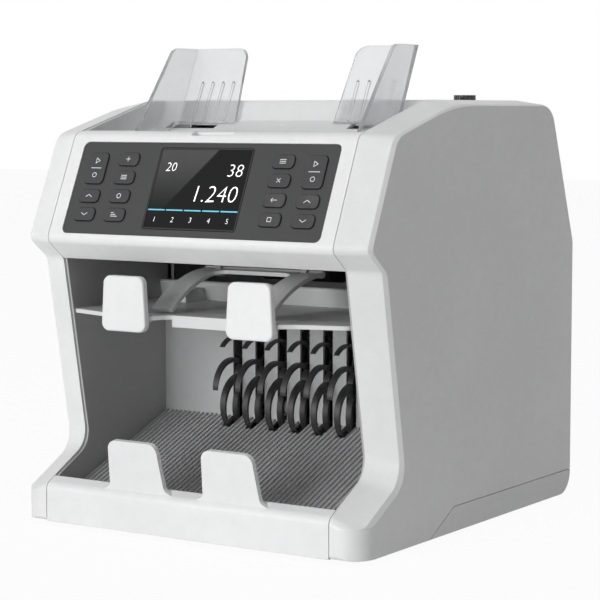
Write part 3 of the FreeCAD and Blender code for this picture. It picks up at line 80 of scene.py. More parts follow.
class Value:
    """A shader socket that takes part in arithmetic with other values and plain numbers."""

    def __init__(self, graph: "Graph", socket: bpy.types.NodeSocket) -> None:
        """Wraps one output socket.

        Args:
            graph: The graph that the socket belongs to.
            socket: The output socket.
        """
        self.graph = graph
        self.socket = socket

    def _maths(self, operation: str, first: Any, second: Any) -> "Value":
        """Adds one maths node.

        Args:
            operation: The name of the operation.
            first: A value or a number.
            second: A value or a number.

        Returns:
            The result of the operation.
        """
        return self.graph.add("ShaderNodeMath", {0: first, 1: second}, operation=operation)

    def __add__(self, other: Any) -> "Value":
        """Adds on the right."""
        return self._maths("ADD", self, other)

    def __radd__(self, other: Any) -> "Value":
        """Adds on the left."""
        return self._maths("ADD", other, self)

    def __sub__(self, other: Any) -> "Value":
        """Takes a value away."""
        return self._maths("SUBTRACT", self, other)

    def __rsub__(self, other: Any) -> "Value":
        """Is taken away from a value."""
        return self._maths("SUBTRACT", other, self)

    def __mul__(self, other: Any) -> "Value":
        """Multiplies on the right."""
        return self._maths("MULTIPLY", self, other)

    def __rmul__(self, other: Any) -> "Value":
        """Multiplies on the left."""
        return self._maths("MULTIPLY", other, self)

    def __truediv__(self, other: Any) -> "Value":
        """Divides by a value."""
        return self._maths("DIVIDE", self, other)

    def __rtruediv__(self, other: Any) -> "Value":
        """Divides a value."""
        return self._maths("DIVIDE", other, self)

    def __gt__(self, other: Any) -> "Value":
        """Gives 1 where this is the larger value and 0 elsewhere."""
        return self._maths("GREATER_THAN", self, other)

    def sine(self) -> "Value":
        """Gives the sine of the value in radians."""
        return self._maths("SINE", self, 0.0)

    def ramp(self, low: float, high: float) -> "Value":
        """Eases from 0 at one bound to 1 at the other.

        Args:
            low: Where the result is 0.
            high: Where the result is 1.

        Returns:
            The eased value.
        """
        bounds = {"Value": self, "From Min": low, "From Max": high}
        return self.graph.add("ShaderNodeMapRange", bounds, interpolation_type="SMOOTHSTEP")


class Graph:
    """A node graph of a material or of the world."""

    def __init__(self, tree: bpy.types.NodeTree, output_kind: str) -> None:
        """Starts with nothing but the output node.

        Args:
            tree: The node tree to fill.
            output_kind: The output node's type name.
        """
        self.tree = tree
        self.tree.nodes.clear()
        self.output = self.tree.nodes.new(output_kind)

    def show(self, shader: "Value") -> None:
        """Links a shader to the output, in place of any earlier one."""
        self.feed(self.output.inputs["Surface"], shader)

    def feed(self, socket: bpy.types.NodeSocket, value: Any) -> None:
        """Links a value to a socket, or sets a constant on it.

        Args:
            socket: The input socket.
            value: A value, a number, a vector or a colour.
        """
        if isinstance(value, Value):
            self.tree.links.new(value.socket, socket)
        elif socket.type == "RGBA":
            socket.default_value = (*value, 1.0)
        else:
            socket.default_value = value

    def add(self, kind: str, inputs: dict[Any, Any] | None = None, output: Any = 0,
            **settings: Any) -> Value:
        """Adds any node that has an output.

        Args:
            kind: The node's type name.
            inputs: Values for its inputs, by name or place.
            output: The wanted output, by name or place.
            **settings: Properties of the node itself, which are set first.

        Returns:
            The wanted output.
        """
        node = self.tree.nodes.new(kind)
        for key, value in settings.items():
            setattr(node, key, value)
        for key, value in (inputs or {}).items():
            self.feed(node.inputs[key], value)
        return Value(self, node.outputs[output])

    def seen(self) -> Value:
        """Gives 1 on what the camera sees, directly, in a reflection or through something clear."""
        looks = [self.add("ShaderNodeLightPath", output=ray)
                 for ray in ("Is Camera Ray", "Is Glossy Ray", "Is Transmission Ray")]
        return looks[0] + looks[1] + looks[2]


class MaterialGraph(Graph):
    """The node graph of one material with a principled shader."""

    def __init__(self, name: str) -> None:
        """Starts a material.

        Args:
            name: The material's name.
        """
        self.material = bpy.data.materials.new(name)
        self.material.use_nodes = True
        super().__init__(self.material.node_tree, "ShaderNodeOutputMaterial")
        self.surface = self.add("ShaderNodeBsdfPrincipled")
        self.shader = self.surface.socket.node
        self.show(self.surface)

    def set(self, **values: Any) -> None:
        """Sets inputs of the principled shader.

        Args:
            **values: Values by input name, with underscores for spaces.
        """
        for key, value in values.items():
            self.feed(self.shader.inputs[key.replace("_", " ")], value)

    def place(self, stretch: Sequence[float] = (1.0, 1.0, 1.0)) -> Value:
        """Reads the object coordinates.

        Args:
            stretch: A factor for each axis.

        Returns:
            The coordinates in metres times the factors.
        """
        coordinates = self.add("ShaderNodeTexCoord", output="Object")
        return self.add("ShaderNodeMapping", {"Vector": coordinates, "Scale": tuple(stretch)})

    def along(self, axis: Axis) -> Value:
        """Gives the object coordinate along one axis, in metres."""
        return self.add("ShaderNodeSeparateXYZ", {0: self.place()}, axis.value)

    def noise(self, scale: float, detail: float = 3.0,
              stretch: Sequence[float] = (1.0, 1.0, 1.0)) -> Value:
        """Adds soft noise.

        Args:
            scale: Features per metre.
            detail: Octaves.
            stretch: A factor for each axis.

        Returns:
            Noise around one half.
        """
        inputs = {"Vector": self.place(stretch), "Scale": scale, "Detail": detail}
        return self.add("ShaderNodeTexNoise", inputs)

    def cells(self, scale: float) -> Value:
        """Gives the distance to the nearest of scattered points, of which there are so many per metre."""
        return self.add("ShaderNodeTexVoronoi", {"Vector": self.place(), "Scale": scale}, "Distance")

    def mix(self, factor: Any, first: Any, second: Any) -> Value:
        """Mixes two colours.

        Args:
            factor: The share of the second colour.
            first: A colour or value.
            second: A colour or value.

        Returns:
            The mixed colour.
        """
        return self.add("ShaderNodeMix", {0: factor, 6: first, 7: second}, 2, data_type="RGBA")

    def bump(self, height: Value, distance: float, strength: float, edge: float = 0.0) -> None:
        """Adds relief to the shader's normal.

        Args:
            height: The relief's height from 0 to 1.
            distance: The relief's depth in metres.
            strength: How much of it shows.
            edge: Radius in metres that softens the piece's edges.
        """
        inputs: dict[Any, Any] = {"Height": height, "Distance": distance, "Strength": strength}
        if edge > 0.0:
            inputs["Normal"] = self.add("ShaderNodeBevel", {"Radius": edge}, samples=EDGE_SAMPLES)
        self.set(Normal=self.add("ShaderNodeBump", inputs))


@dataclass(frozen=True)
class Finish:
    """A moulded surface: a colour with faint mottling, fine grain and softened edges."""

    name: str
    colour: Colour
    rough: float = 0.45
    grain: float = 2600.0
    relief: float = 0.02 * MM
    mottle: float = 0.035
    edge: float = 0.5 * MM
    gloss_spread: float = 0.14
    cloud_scale: float = 9.0
    spot_scale: float = 140.0
    spot_share: float = 0.3

    def tones(self, graph: MaterialGraph) -> Value:
        """Mottles the base colour.

        Args:
            graph: The material's graph.

        Returns:
            The mottled base colour.
        """
        clouds = graph.noise(self.cloud_scale, 4.0) * (1.0 - self.spot_share)
        spots = graph.noise(self.spot_scale, 2.0) * self.spot_share
        dark = tuple(c * (1.0 - self.mottle) for c in self.colour)
        pale = tuple(min(c * (1.0 + self.mottle), 1.0) for c in self.colour)
        return graph.mix((clouds + spots).ramp(0.3, 0.7), dark, pale)

    def dress(self, graph: MaterialGraph) -> None:
        """Fills the material's graph.

        Args:
            graph: The material's graph.
        """
        fine = graph.noise(self.grain, 2.0)
        graph.set(Base_Color=self.tones(graph), Roughness=self.rough + (fine - 0.5) * self.gloss_spread)
        graph.bump(fine, self.relief, 0.5, self.edge)

    def material(self) -> bpy.types.Material:
        """Gives the finished material."""
        graph = MaterialGraph(self.name)
        self.dress(graph)
        return graph.material


@dataclass(frozen=True)
class Speckled(Finish):
    """A moulded surface with fine paler specks in it."""

    speck: Colour = (0.3, 0.3, 0.3)
    speck_scale: float = 2200.0
    speck_share: float = 0.35

    def tones(self, graph: MaterialGraph) -> Value:
        """Scatters specks over the mottled colour.

        Args:
            graph: The material's graph.

        Returns:
            The base colour with specks.
        """
        specks = 1.0 - graph.cells(self.speck_scale).ramp(0.06, 0.2)
        return graph.mix(specks * self.speck_share, super().tones(graph), self.speck)


@dataclass(frozen=True)
class Metal(Finish):
    """A metal surface with fine lines drawn along one axis."""

    line_axis: Axis = Axis.X
    line_stretch: float = 0.03
    gloss_spread: float = 0.3

    def dress(self, graph: MaterialGraph) -> None:
        """Draws the lines into the metal's gloss and relief.

        Args:
            graph: The material's graph.
        """
        stretch = [1.0, 1.0, 1.0]
        stretch[self.line_axis.value] = self.line_stretch
        lines = graph.noise(self.grain, 4.0, stretch)
        graph.set(Base_Color=self.tones(graph), Metallic=1.0,
                  Roughness=self.rough + (lines - 0.5) * self.gloss_spread)
        graph.bump(lines, self.relief, 0.35, self.edge)


@dataclass(frozen=True)
class Rubber(Finish):
    """Matte rubber with a worn, slightly dusty face."""

    dust: Colour = (0.16, 0.155, 0.15)
    dust_scale: float = 55.0
    dust_share: float = 0.25

    def tones(self, graph: MaterialGraph) -> Value:
        """Lays dust over the mottled colour.

        Args:
            graph: The material's graph.

        Returns:
            The dusty base colour.
        """
        dust = graph.noise(self.dust_scale, 5.0).ramp(0.5, 0.8) * self.dust_share
        return graph.mix(dust, super().tones(graph), self.dust)


@dataclass(frozen=True)
class Toothed(Rubber):
    """Belt rubber with moulded teeth across it."""

    pitch: float = 2.0 * MM
    tooth_depth: float = 0.4 * MM

    def dress(self, graph: MaterialGraph) -> None:
        """Sets the teeth at their pitch.

        Args:
            graph: The material's graph.
        """
        step = 2.0 * math.pi / self.pitch
        teeth = ((graph.along(Axis.Y) + graph.along(Axis.Z)) * step).sine().ramp(-0.4, 0.4)
        graph.set(Base_Color=graph.mix(teeth, self.colour, self.tones(graph)), Roughness=self.rough)
        graph.bump(teeth, self.tooth_depth, 0.6)


@dataclass(frozen=True)
class Clear(Finish):
    """Clear moulded plastic with a faint haze and fine scratches."""

    clearness: float = 0.82
    refraction: float = 1.49
    haze_scale: float = 30.0
    haze_depth: float = 0.05 * MM
    scratch_scale: float = 900.0
    scratch_stretch: tuple[float, float, float] = (1.0, 0.05, 0.05)
    gloss_spread: float = 0.08

    def dress(self, graph: MaterialGraph) -> None:
        """Sets the haze and the scratches.

        Args:
            graph: The material's graph.
        """
        scratches = graph.noise(self.scratch_scale, stretch=self.scratch_stretch).ramp(0.55, 0.75)
        haze = graph.noise(self.haze_scale)
        graph.set(Base_Color=self.tones(graph), Transmission_Weight=self.clearness, IOR=self.refraction,
                  Roughness=self.rough + haze * self.gloss_spread + scratches * self.gloss_spread)
        graph.bump(haze, self.haze_depth, 0.3, self.edge)


@dataclass(frozen=True)
class Screen(Finish):
    """A dark display behind a glossy pane, with a painted reflection: a paler field across its upper left.
    """

    middle: Vector = field(default_factory=Vector)
    half: Point = (33.0 * MM, 24.0 * MM)
    # pale is the colour of the painted reflection on the pane, and slant is the slope of its edge
    pale: Colour = (0.085, 0.086, 0.088)
    slant: float = 0.62
    dot_share: float = 0.12
    gloss_spread: float = 0.05

    def dress(self, graph: MaterialGraph) -> None:
        """Sets the painted reflection, the dots and the gloss of the pane.

        Args:
            graph: The material's graph.
        """
        across = (graph.along(Axis.X) - self.middle.x) / self.half[0]
        up = (graph.along(Axis.Z) - self.middle.z) / self.half[1]
        # painted reflection in the base colour: a paler diagonal field over the upper left of the pane
        painted_reflection = (up * self.slant - across).ramp(0.32, 0.38) * up.ramp(-0.8, 1.0)
        dots = graph.cells(DOT_SCALE).ramp(0.0, 0.5)
        colour = graph.mix(painted_reflection, self.colour, self.pale)
        graph.set(Base_Color=graph.mix(dots * self.dot_share, colour, BLACK), Coat_Weight=0.08,
                  Coat_Roughness=0.03, Specular_IOR_Level=0.15,
                  Roughness=self.rough + graph.noise(40.0) * self.gloss_spread)


@dataclass(frozen=True)
class Circuit(Finish):
    """A lacquered circuit board with copper tracks; what stands above the board is dark."""

    copper: Colour = (0.05, 0.2, 0.09)
    chip: Colour = (0.02, 0.02, 0.022)
    top: float = 1.0
    track_scale: float = 160.0
    track_width: float = 0.06
    track_share: float = 0.8

    def tones(self, graph: MaterialGraph) -> Value:
        """Lays the tracks and darkens the components.

        Args:
            graph: The material's graph.

        Returns:
            The board's colours.
        """
        grid = {"Vector": graph.place(), "Scale": self.track_scale, "Mortar Size": self.track_width}
        tracks = graph.add("ShaderNodeTexBrick", grid, "Fac")
        board = graph.mix(tracks * self.track_share, super().tones(graph), self.copper)
        return graph.mix(graph.along(Axis.Z) > self.top, board, self.chip)


@dataclass(frozen=True)
class Ink(Finish):
    """White printing ink, a little uneven."""

    gloss_spread: float = 0.2
    patch_scale: float = 3000.0

    def dress(self, graph: MaterialGraph) -> None:
        """Sets the ink's uneven gloss.

        Args:
            graph: The material's graph.
        """
        patches = graph.noise(self.patch_scale)
        graph.set(Base_Color=self.tones(graph), Roughness=self.rough + patches * self.gloss_spread)


@dataclass(frozen=True)
class Lit(Finish):
    """Glowing marks on a display, with a faint dot pattern."""

    glow: float = 0.9
    dimmed: float = 0.85

    def dress(self, graph: MaterialGraph) -> None:
        """Sets the glow and its dots.

        Args:
            graph: The material's graph.
        """
        dots = graph.cells(DOT_SCALE).ramp(0.0, 0.6)
        dim = tuple(c * self.dimmed for c in self.colour)
        graph.set(Base_Color=self.tones(graph), Roughness=self.rough, Emission_Strength=self.glow,
                  Emission_Color=graph.mix(dots, dim, self.colour))


def points_of(name: str) -> list[Vector]:
    """Reads the vertices of a CAD node.

    Args:
        name: The node's name.

    Returns:
        Its vertices in the shared frame.
    """
    node = frame["nodes"][name]
    return [node.matrix_world @ v.co for v in node.data.vertices]


def coat(names: Iterable[str], finish: Finish) -> None:
    """Gives CAD nodes a finish.

    Args:
        names: The nodes' names.
        finish: Their finish.
    """
    material = finish.material()
    for name in names:
        mesh = frame["nodes"][name].data
        mesh.materials.clear()
        mesh.materials.append(material)
        LOG.info("%s is dressed in %s", name, finish.name)


def settle(name: str, body: str, material: bpy.types.Material) -> bpy.types.Object:
    """Finishes the active object as a piece: its place goes into the mesh, and it rides on a body.

    Args:
        name: The piece's name.
        body: The CAD body that it moves with.
        material: Its material.

    Returns:
        The piece.
    """
    piece = bpy.context.active_object
    bpy.ops.object.transform_apply(location=True, rotation=True, scale=True)
    piece.name = name
    piece.data.materials.clear()
    piece.data.materials.append(material)
    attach(piece, body)
    LOG.info("%s rides on %s", name, body)
    return piece


@dataclass
class Sheet:
    """A drawing plane on the object, with its right and up directions and the size of its face."""

    origin: Vector
    right: Vector
    up: Vector
    size: Point = (0.0, 0.0)
    lift: float = 0.03 * MM
    stroke_rounding: float = 0.35
    ring_corners: int = 32
    slope: float = 0.08
    thinning: float = 0.02
    curve_steps: int = 3
    strokes: list[bpy.types.Object] = field(default_factory=list)

    def matrix(self, point: Point, turn: float = 0.0) -> Matrix:
        """Gives the placement of something drawn on the plane.

        Args:
            point: Distances right of and up from the origin in metres.
            turn: Turn in the plane in radians.

        Returns:
            The placement.
        """
        out = self.right.cross(self.up)
        place = Matrix((self.right, self.up, out)).transposed().to_4x4()
        place.translation = self.origin + self.right * point[0] + self.up * point[1] + out * self.lift
        return place @ Matrix.Rotation(turn, 4, "Z")

    def line(self, start: Point, end: Point, width: float) -> None:
        """Draws a straight stroke with bevelled ends.

        Args:
            start: One end in metres.
            end: The other end in metres.
            width: The stroke's width in metres.
        """
        du, dv = end[0] - start[0], end[1] - start[1]
        bpy.ops.object.select_all(action="DESELECT")
        bpy.ops.mesh.primitive_plane_add(size=1.0)
        stroke = bpy.context.active_object
        stroke.scale = (math.hypot(du, dv) + width, width, 1.0)
        bpy.ops.object.transform_apply(location=False, rotation=False, scale=True)
        bpy.ops.object.mode_set(mode="EDIT")
        bpy.ops.mesh.select_all(action="SELECT")
        bpy.ops.mesh.bevel(offset=self.stroke_rounding * width, segments=2, affect="VERTICES")
        bpy.ops.object.mode_set(mode="OBJECT")
        middle = ((start[0] + end[0]) / 2, (start[1] + end[1]) / 2)
        stroke.matrix_world = self.matrix(middle, math.atan2(dv, du))
        self.strokes.append(stroke)

    def path(self, points: Sequence[Point], width: float) -> None:
        """Draws strokes from point to point.

        Args:
            points: The points in metres.
            width: The strokes' width in metres.
        """
        for start, end in zip(points, points[1:]):
            self.line(start, end, width)

    def ring(self, centre: Point, radius: float, width: float) -> None:
        """Draws a ring.

        Args:
            centre: Its centre in metres.
            radius: Its middle radius in metres.
            width: The width of its stroke in metres.
        """
        bpy.ops.object.select_all(action="DESELECT")
        bpy.ops.mesh.primitive_circle_add(vertices=self.ring_corners, radius=radius + width / 2,
                                          fill_type="NGON")
        bpy.ops.object.mode_set(mode="EDIT")
        bpy.ops.mesh.select_all(action="SELECT")
        bpy.ops.mesh.inset(thickness=width, depth=0.0)
        bpy.ops.mesh.delete(type="FACE")
        bpy.ops.object.mode_set(mode="OBJECT")
        stroke = bpy.context.active_object
        stroke.matrix_world = self.matrix(centre)
        self.strokes.append(stroke)

    def numerals(self, text: str, point: Point, height: float, align: Align) -> None:
        """Sets a line of plain numerals.

        Args:
            text: The numerals.
            point: Where the line starts, ends or is centred, in metres.
            height: Size of the numerals in metres.
            align: How the line is set against the point.
        """
        bpy.ops.object.select_all(action="DESELECT")
        bpy.ops.object.text_add()
        figures = bpy.context.active_object.data
        figures.body = text
        figures.size = height
        figures.align_x = align.value
        figures.shear = self.slope
        figures.offset = -self.thinning * height
        figures.resolution_u = self.curve_steps
        bpy.ops.object.convert(target="MESH")
        stroke = bpy.context.active_object
        stroke.matrix_world = self.matrix(point)
        self.strokes.append(stroke)

    def finish(self, name: str, body: str, material: bpy.types.Material) -> bpy.types.Object:
        """Joins what was drawn into one piece.

        Args:
            name: The piece's name.
            body: The CAD body that it moves with.
            material: Its material.

        Returns:
            The piece.
        """
        bpy.ops.object.select_all(action="DESELECT")
        for stroke in self.strokes:
            stroke.select_set(True)
        bpy.context.view_layer.objects.active = self.strokes[0]
        if len(self.strokes) > 1:
            bpy.ops.object.join()
        self.strokes = []
        return settle(name, body, material)


@dataclass(frozen=True)
class Drawing:
    """A plain sign in units of its half size: lines from point to point, and rings."""

    lines: tuple[tuple[Point, ...], ...] = ()
    rings: tuple[tuple[Point, float], ...] = ()


class Sign(Enum):
    """The plain sign printed on a key."""

    START = Drawing((((-0.9, 2.2), (1.0, 3.4), (-0.9, 4.6), (-0.9, 2.2)), ((-2.6, 0.0), (2.6, 0.0))),
                    (((0.0, -3.2), 1.0),))
    UP = Drawing((((-1.5, -0.5), (0.0, 0.5), (1.5, -0.5)),))
    DOWN = Drawing((((-1.5, 0.5), (0.0, -0.5), (1.5, 0.5)),))
    PLUS = Drawing((((-1.0, 0.0), (1.0, 0.0)), ((0.0, -1.0), (0.0, 1.0))))
    STACK = Drawing((((-1.4, -0.8), (1.4, -0.8)), ((-1.4, 0.0), (1.4, 0.0)), ((-1.4, 0.8), (1.4, 0.8))))
    RING = Drawing(rings=(((0.0, 0.0), 1.0),))
    STEPS = Drawing((((-1.6, -0.8), (1.6, -0.8)), ((-1.6, 0.0), (0.6, 0.0)), ((-1.6, 0.8), (-0.4, 0.8))))
    CROSS = Drawing((((-0.8, -0.8), (0.8, 0.8)), ((-0.8, 0.8), (0.8, -0.8))))
    BACK = Drawing((((-1.4, 0.0), (1.4, 0.0)), ((-0.6, 0.8), (-1.4, 0.0), (-0.6, -0.8))))
    SQUARE = Drawing((((-0.9, -0.9), (0.9, -0.9), (0.9, 0.9), (-0.9, 0.9), (-0.9, -0.9)),))

    def draw(self, sheet: Sheet, size: float, width: float) -> None:
        """Draws the sign in the middle of a sheet.

        Args:
            sheet: The drawing plane.
            size: Half the size of the sign in metres.
            width: The width of its strokes in metres.
        """
        for points in self.value.lines:
            sheet.path([(u * size, v * size) for u, v in points], width)
        for (u, v), radius in self.value.rings:
            sheet.ring((u * size, v * size), radius * size, width)


@dataclass(frozen=True)
class Readout:
    """One line of numerals on the display, placed from its middle, in metres."""

    text: str
    point: Point
    height: float
    align: Align


class SubAssembly:
    """A group of pieces that is dressed, and that may add pieces of its own."""

    def dress(self) -> None:
        """Gives the group's CAD nodes their finishes."""
        raise NotImplementedError

    def build(self) -> None:
        """Adds the group's own pieces, if it has any."""


@dataclass
class Housing(SubAssembly):
    """The outer shell: side panels, front, lip, top, rear and base."""

    shell: Finish = Finish("white_plastic", (0.85, 0.855, 0.86), 0.42)
    base: Finish = Finish("base_plastic", (0.82, 0.825, 0.83), 0.46)
    feet: Finish = Rubber("foot_rubber", (0.03, 0.03, 0.03), 0.8, relief=0.05 * MM)
    steel: Finish = Metal("screw_steel", (0.62, 0.62, 0.63), 0.3, edge=0.1 * MM)

    def dress(self) -> None:
        """Gives the shell its finishes."""
        coat(["left_side_panel", "right_side_panel", "front_panel", "front_lip", "top_cover", "rear_panel",
              "rear_door"], self.shell)
        coat(["base_tray"], self.base)
        coat(["rubber_feet"], self.feet)
        coat(["housing_screws"], self.steel)


@dataclass
class ControlPanel(SubAssembly):
    """The slanted panel with its insert, display and keys."""

    insert: Finish = Speckled("insert_plastic", (0.026, 0.027, 0.028), 0.5, speck=(0.06, 0.06, 0.06))
    keys: Finish = Rubber("key_rubber", (0.024, 0.025, 0.027), 0.55, edge=0.4 * MM)
    board: Finish = Circuit("keypad_lacquer", (0.02, 0.13, 0.06), 0.35)
    ink: Finish = Ink("white_ink", (0.82, 0.83, 0.83), 0.5)
    light: Finish = Lit("display_white", (0.95, 0.96, 0.97), 0.5)
    cyan: Finish = Lit("display_cyan", (0.1, 0.42, 0.56), 0.5, glow=0.7)
    trim: Finish = Finish("trim_plastic", (0.008, 0.008, 0.009), 0.3, edge=0.1 * MM)
    trim_width: float = 0.9 * MM
    trim_rise: float = 0.25 * MM
    sign_size: float = 1.4 * MM
    sign_width: float = 0.42 * MM
    trim_rounding: float = 0.4
    rim_depth: float = 0.1 * MM
    readouts: tuple[Readout, ...] = (
        Readout("20", (-27.0 * MM, 11.0 * MM), 8.0 * MM, Align.LEFT),
        Readout("38", (29.0 * MM, 8.0 * MM), 11.5 * MM, Align.RIGHT),
        Readout("1.240", (29.0 * MM, -8.0 * MM), 15.0 * MM, Align.RIGHT),
    )
    labels: int = 5
    label_pitch: float = 13.0 * MM
    label_foot: float = -21.0 * MM
    label_height: float = 4.6 * MM
    bar_share: float = 0.86
    bar_level: float = -13.5 * MM
    bar_width: float = 0.8 * MM

    def signs(self) -> dict[str, Sign]:
        """Gives the sign of each key."""
        return {"left_start_key": Sign.START, "right_start_key": Sign.START, "left_up_key": Sign.UP,
                "right_up_key": Sign.UP, "left_down_key": Sign.DOWN, "right_down_key": Sign.DOWN,
                "add_key": Sign.PLUS, "batch_key": Sign.STACK, "mode_key": Sign.RING,
                "report_key": Sign.STEPS, "menu_key": Sign.STACK, "clear_key": Sign.CROSS,
                "back_key": Sign.BACK, "test_key": Sign.SQUARE}

    def face(self, node: str) -> Sheet:
        """Finds the outer face of a node that lies along the slanted panel.

        Args:
            node: The CAD node.

        Returns:
            A drawing plane in the middle of its face.
        """
        press = next(joint for joint in frame["joints"] if joint["name"] == "add_key_press")
        out = -Vector(press["axis"]).normalized()
        up = out.cross(RIGHT)
        points = points_of(node)
        level = max(p.dot(out) for p in points)
        rim = [p for p in points if p.dot(out) > level - self.rim_depth]
        across = [p.x for p in rim]
        height = [p.dot(up) for p in rim]
        middle = RIGHT * (min(across) + max(across)) / 2 + up * (min(height) + max(height)) / 2
        size = (max(across) - min(across), max(height) - min(height))
        return Sheet(middle + out * level, RIGHT, up, size)

    def dress(self) -> None:
        """Gives the panel's CAD nodes their finishes."""
        coat(["control_insert"], self.insert)
        coat(self.signs(), self.keys)
        coat(["keypad_board"], self.board)
        pane = self.face("display_module")
        half = (pane.size[0] / 2, pane.size[1] / 2 * pane.up.z)
        coat(["display_module"],
             Screen("display_glass", (0.004, 0.0045, 0.005), 0.12, middle=pane.origin, half=half))

    def build(self) -> None:
        """Prints the keys, frames the display and lights it."""
        ink = self.ink.material()
        for key, sign in self.signs().items():
            sheet = self.face(key)
            sign.draw(sheet, self.sign_size, self.sign_width)
            sheet.finish(key + "_print", key, ink)
        self.build_trim()
        self.build_numerals()
        self.build_bars()

    def build_trim(self) -> bpy.types.Object:
        """Frames the display with a thin raised trim.

        Returns:
            The trim.
        """
        sheet = self.face("display_module")
        bpy.ops.object.select_all(action="DESELECT")
        bpy.ops.mesh.primitive_plane_add(size=1.0)
        trim = bpy.context.active_object
        trim.scale = (*sheet.size, 1.0)
        bpy.ops.object.transform_apply(location=False, rotation=False, scale=True)
        bpy.ops.object.mode_set(mode="EDIT")
        bpy.ops.mesh.select_all(action="SELECT")
        bpy.ops.mesh.bevel(offset=self.trim_rounding * self.trim_width, segments=4, affect="VERTICES")
        bpy.ops.mesh.select_all(action="SELECT")
        bpy.ops.mesh.inset(thickness=self.trim_width, depth=0.0)
        bpy.ops.mesh.delete(type="FACE")
        bpy.ops.object.mode_set(mode="OBJECT")
        thick = trim.modifiers.new("thickness", "SOLIDIFY")
        thick.thickness = self.trim_rise
        thick.offset = 1.0
        bpy.ops.object.modifier_apply(modifier=thick.name)
        trim.matrix_world = sheet.matrix((0.0, 0.0))
        piece = settle("display_trim", MAIN_BODY, self.trim.material())
        return piece

    def label_middles(self) -> list[float]:
        """Gives how far right of the display's middle each label along its foot stands, in metres."""
        return [(i - (self.labels - 1) / 2) * self.label_pitch for i in range(self.labels)]

    def build_numerals(self) -> bpy.types.Object:
        """Lights plain numerals on the display.

        Returns:
            The numerals.
        """
        sheet = self.face("display_module")
        for line in self.readouts:
            sheet.numerals(line.text, line.point, line.height, line.align)
        for number, middle in enumerate(self.label_middles(), start=1):
            sheet.numerals(str(number), (middle, self.label_foot), self.label_height, Align.CENTRE)
        return sheet.finish("display_numerals", MAIN_BODY, self.light.material())

    def build_bars(self) -> bpy.types.Object:
        """Lights a thin bar above each label of the display.

        Returns:
            The bars.
        """
        sheet = self.face("display_module")
        reach = self.bar_share * self.label_pitch / 2
        for middle in self.label_middles():
            ends = [(middle + side * reach, self.bar_level) for side in (-1, 1)]
            sheet.line(ends[0], ends[1], self.bar_width)
        return sheet.finish("display_bars", MAIN_BODY, self.cyan.material())


@dataclass
class Pockets(SubAssembly):
    """The stacker pocket and the reject pocket above it."""

    liner: Finish = Speckled("liner_plastic", (0.43, 0.432, 0.435), 0.5, speck=(0.5, 0.5, 0.5))
    floor: Finish = Finish("floor_plastic", (0.5, 0.505, 0.51), 0.5)
    tray: Finish = Finish("tray_plastic", (0.72, 0.725, 0.73), 0.45)
    fork: Finish = Finish("fork_plastic", (0.86, 0.865, 0.87), 0.3)
    stops: Finish = Finish("stop_plastic", (0.85, 0.855, 0.86), 0.38)

    def dress(self) -> None:
        """Gives the pockets' CAD nodes their finishes."""
        coat(["pocket_liner"], self.liner)
        coat(["pocket_floor", "stacker_back_plate"], self.floor)
        coat(["reject_tray"], self.tray)
        coat(["hold_down_fork"], self.fork)
        coat(["left_reject_stop", "right_reject_stop"], self.stops)


@dataclass
class Hopper(SubAssembly):
    """The hopper with its clear sliding guides."""

    tray: Finish = Finish("hopper_plastic", (0.76, 0.765, 0.77), 0.5)
    guides: Finish = Clear("clear_plastic", (0.84, 0.85, 0.86), 0.08, edge=0.6 * MM)
    pinion: Finish = Finish("pinion_plastic", (0.75, 0.74, 0.7), 0.4, edge=0.1 * MM)
    screw: Finish = Finish("gap_screw_plastic", (0.018, 0.018, 0.019), 0.16, edge=0.4 * MM)

    def dress(self) -> None:
        """Gives the hopper's CAD nodes their finishes."""
        coat(["hopper_tray"], self.tray)
        coat(["left_hopper_guide", "right_hopper_guide"], self.guides)
        coat(["guide_pinion"], self.pinion)
        coat(["gap_screw"], self.screw)


@dataclass
class Mechanism(SubAssembly):
    """The frame, shafts, rollers, wheels and belts inside."""

    plates: Finish = Metal("zinc_sheet", (0.6, 0.61, 0.62), 0.38, grain=900.0, line_axis=Axis.Z)
    shafts: Finish = Metal("ground_steel", (0.66, 0.66, 0.67), 0.25, grain=1800.0)
    bushes: Finish = Metal("sintered_bronze", (0.55, 0.4, 0.22), 0.42)
    rollers: Finish = Rubber("roller_rubber", (0.045, 0.045, 0.05), 0.7, relief=0.06 * MM)
    tyres: Finish = Rubber("feed_rubber", (0.03, 0.03, 0.032), 0.75, relief=0.08 * MM)
    belts: Finish = Toothed("belt_rubber", (0.025, 0.025, 0.025), 0.7)
    wheels: Finish = Finish("wheel_plastic", (0.03, 0.03, 0.032), 0.45, edge=0.3 * MM)
    sensors: Finish = Speckled("sensor_plastic", (0.02, 0.02, 0.022), 0.4)

    def dress(self) -> None:
        """Gives the inner CAD nodes their finishes."""
        coat(["left_frame_plate", "right_frame_plate"], self.plates)
        coat(["cross_rods", "feed_shaft", "stacker_shaft", "main_motor", "motor_pulley"], self.shafts)
        coat(["shaft_bushes"], self.bushes)
        coat(["retard_roller", "drive_roller_shaft", "turn_drum"], self.rollers)
        coat(["feed_rollers"], self.tyres)
        coat(["drive_belts"], self.belts)
        coat(["stacker_wheels", "reject_gate"], self.wheels)
        coat(["sensor_bars"], self.sensors)


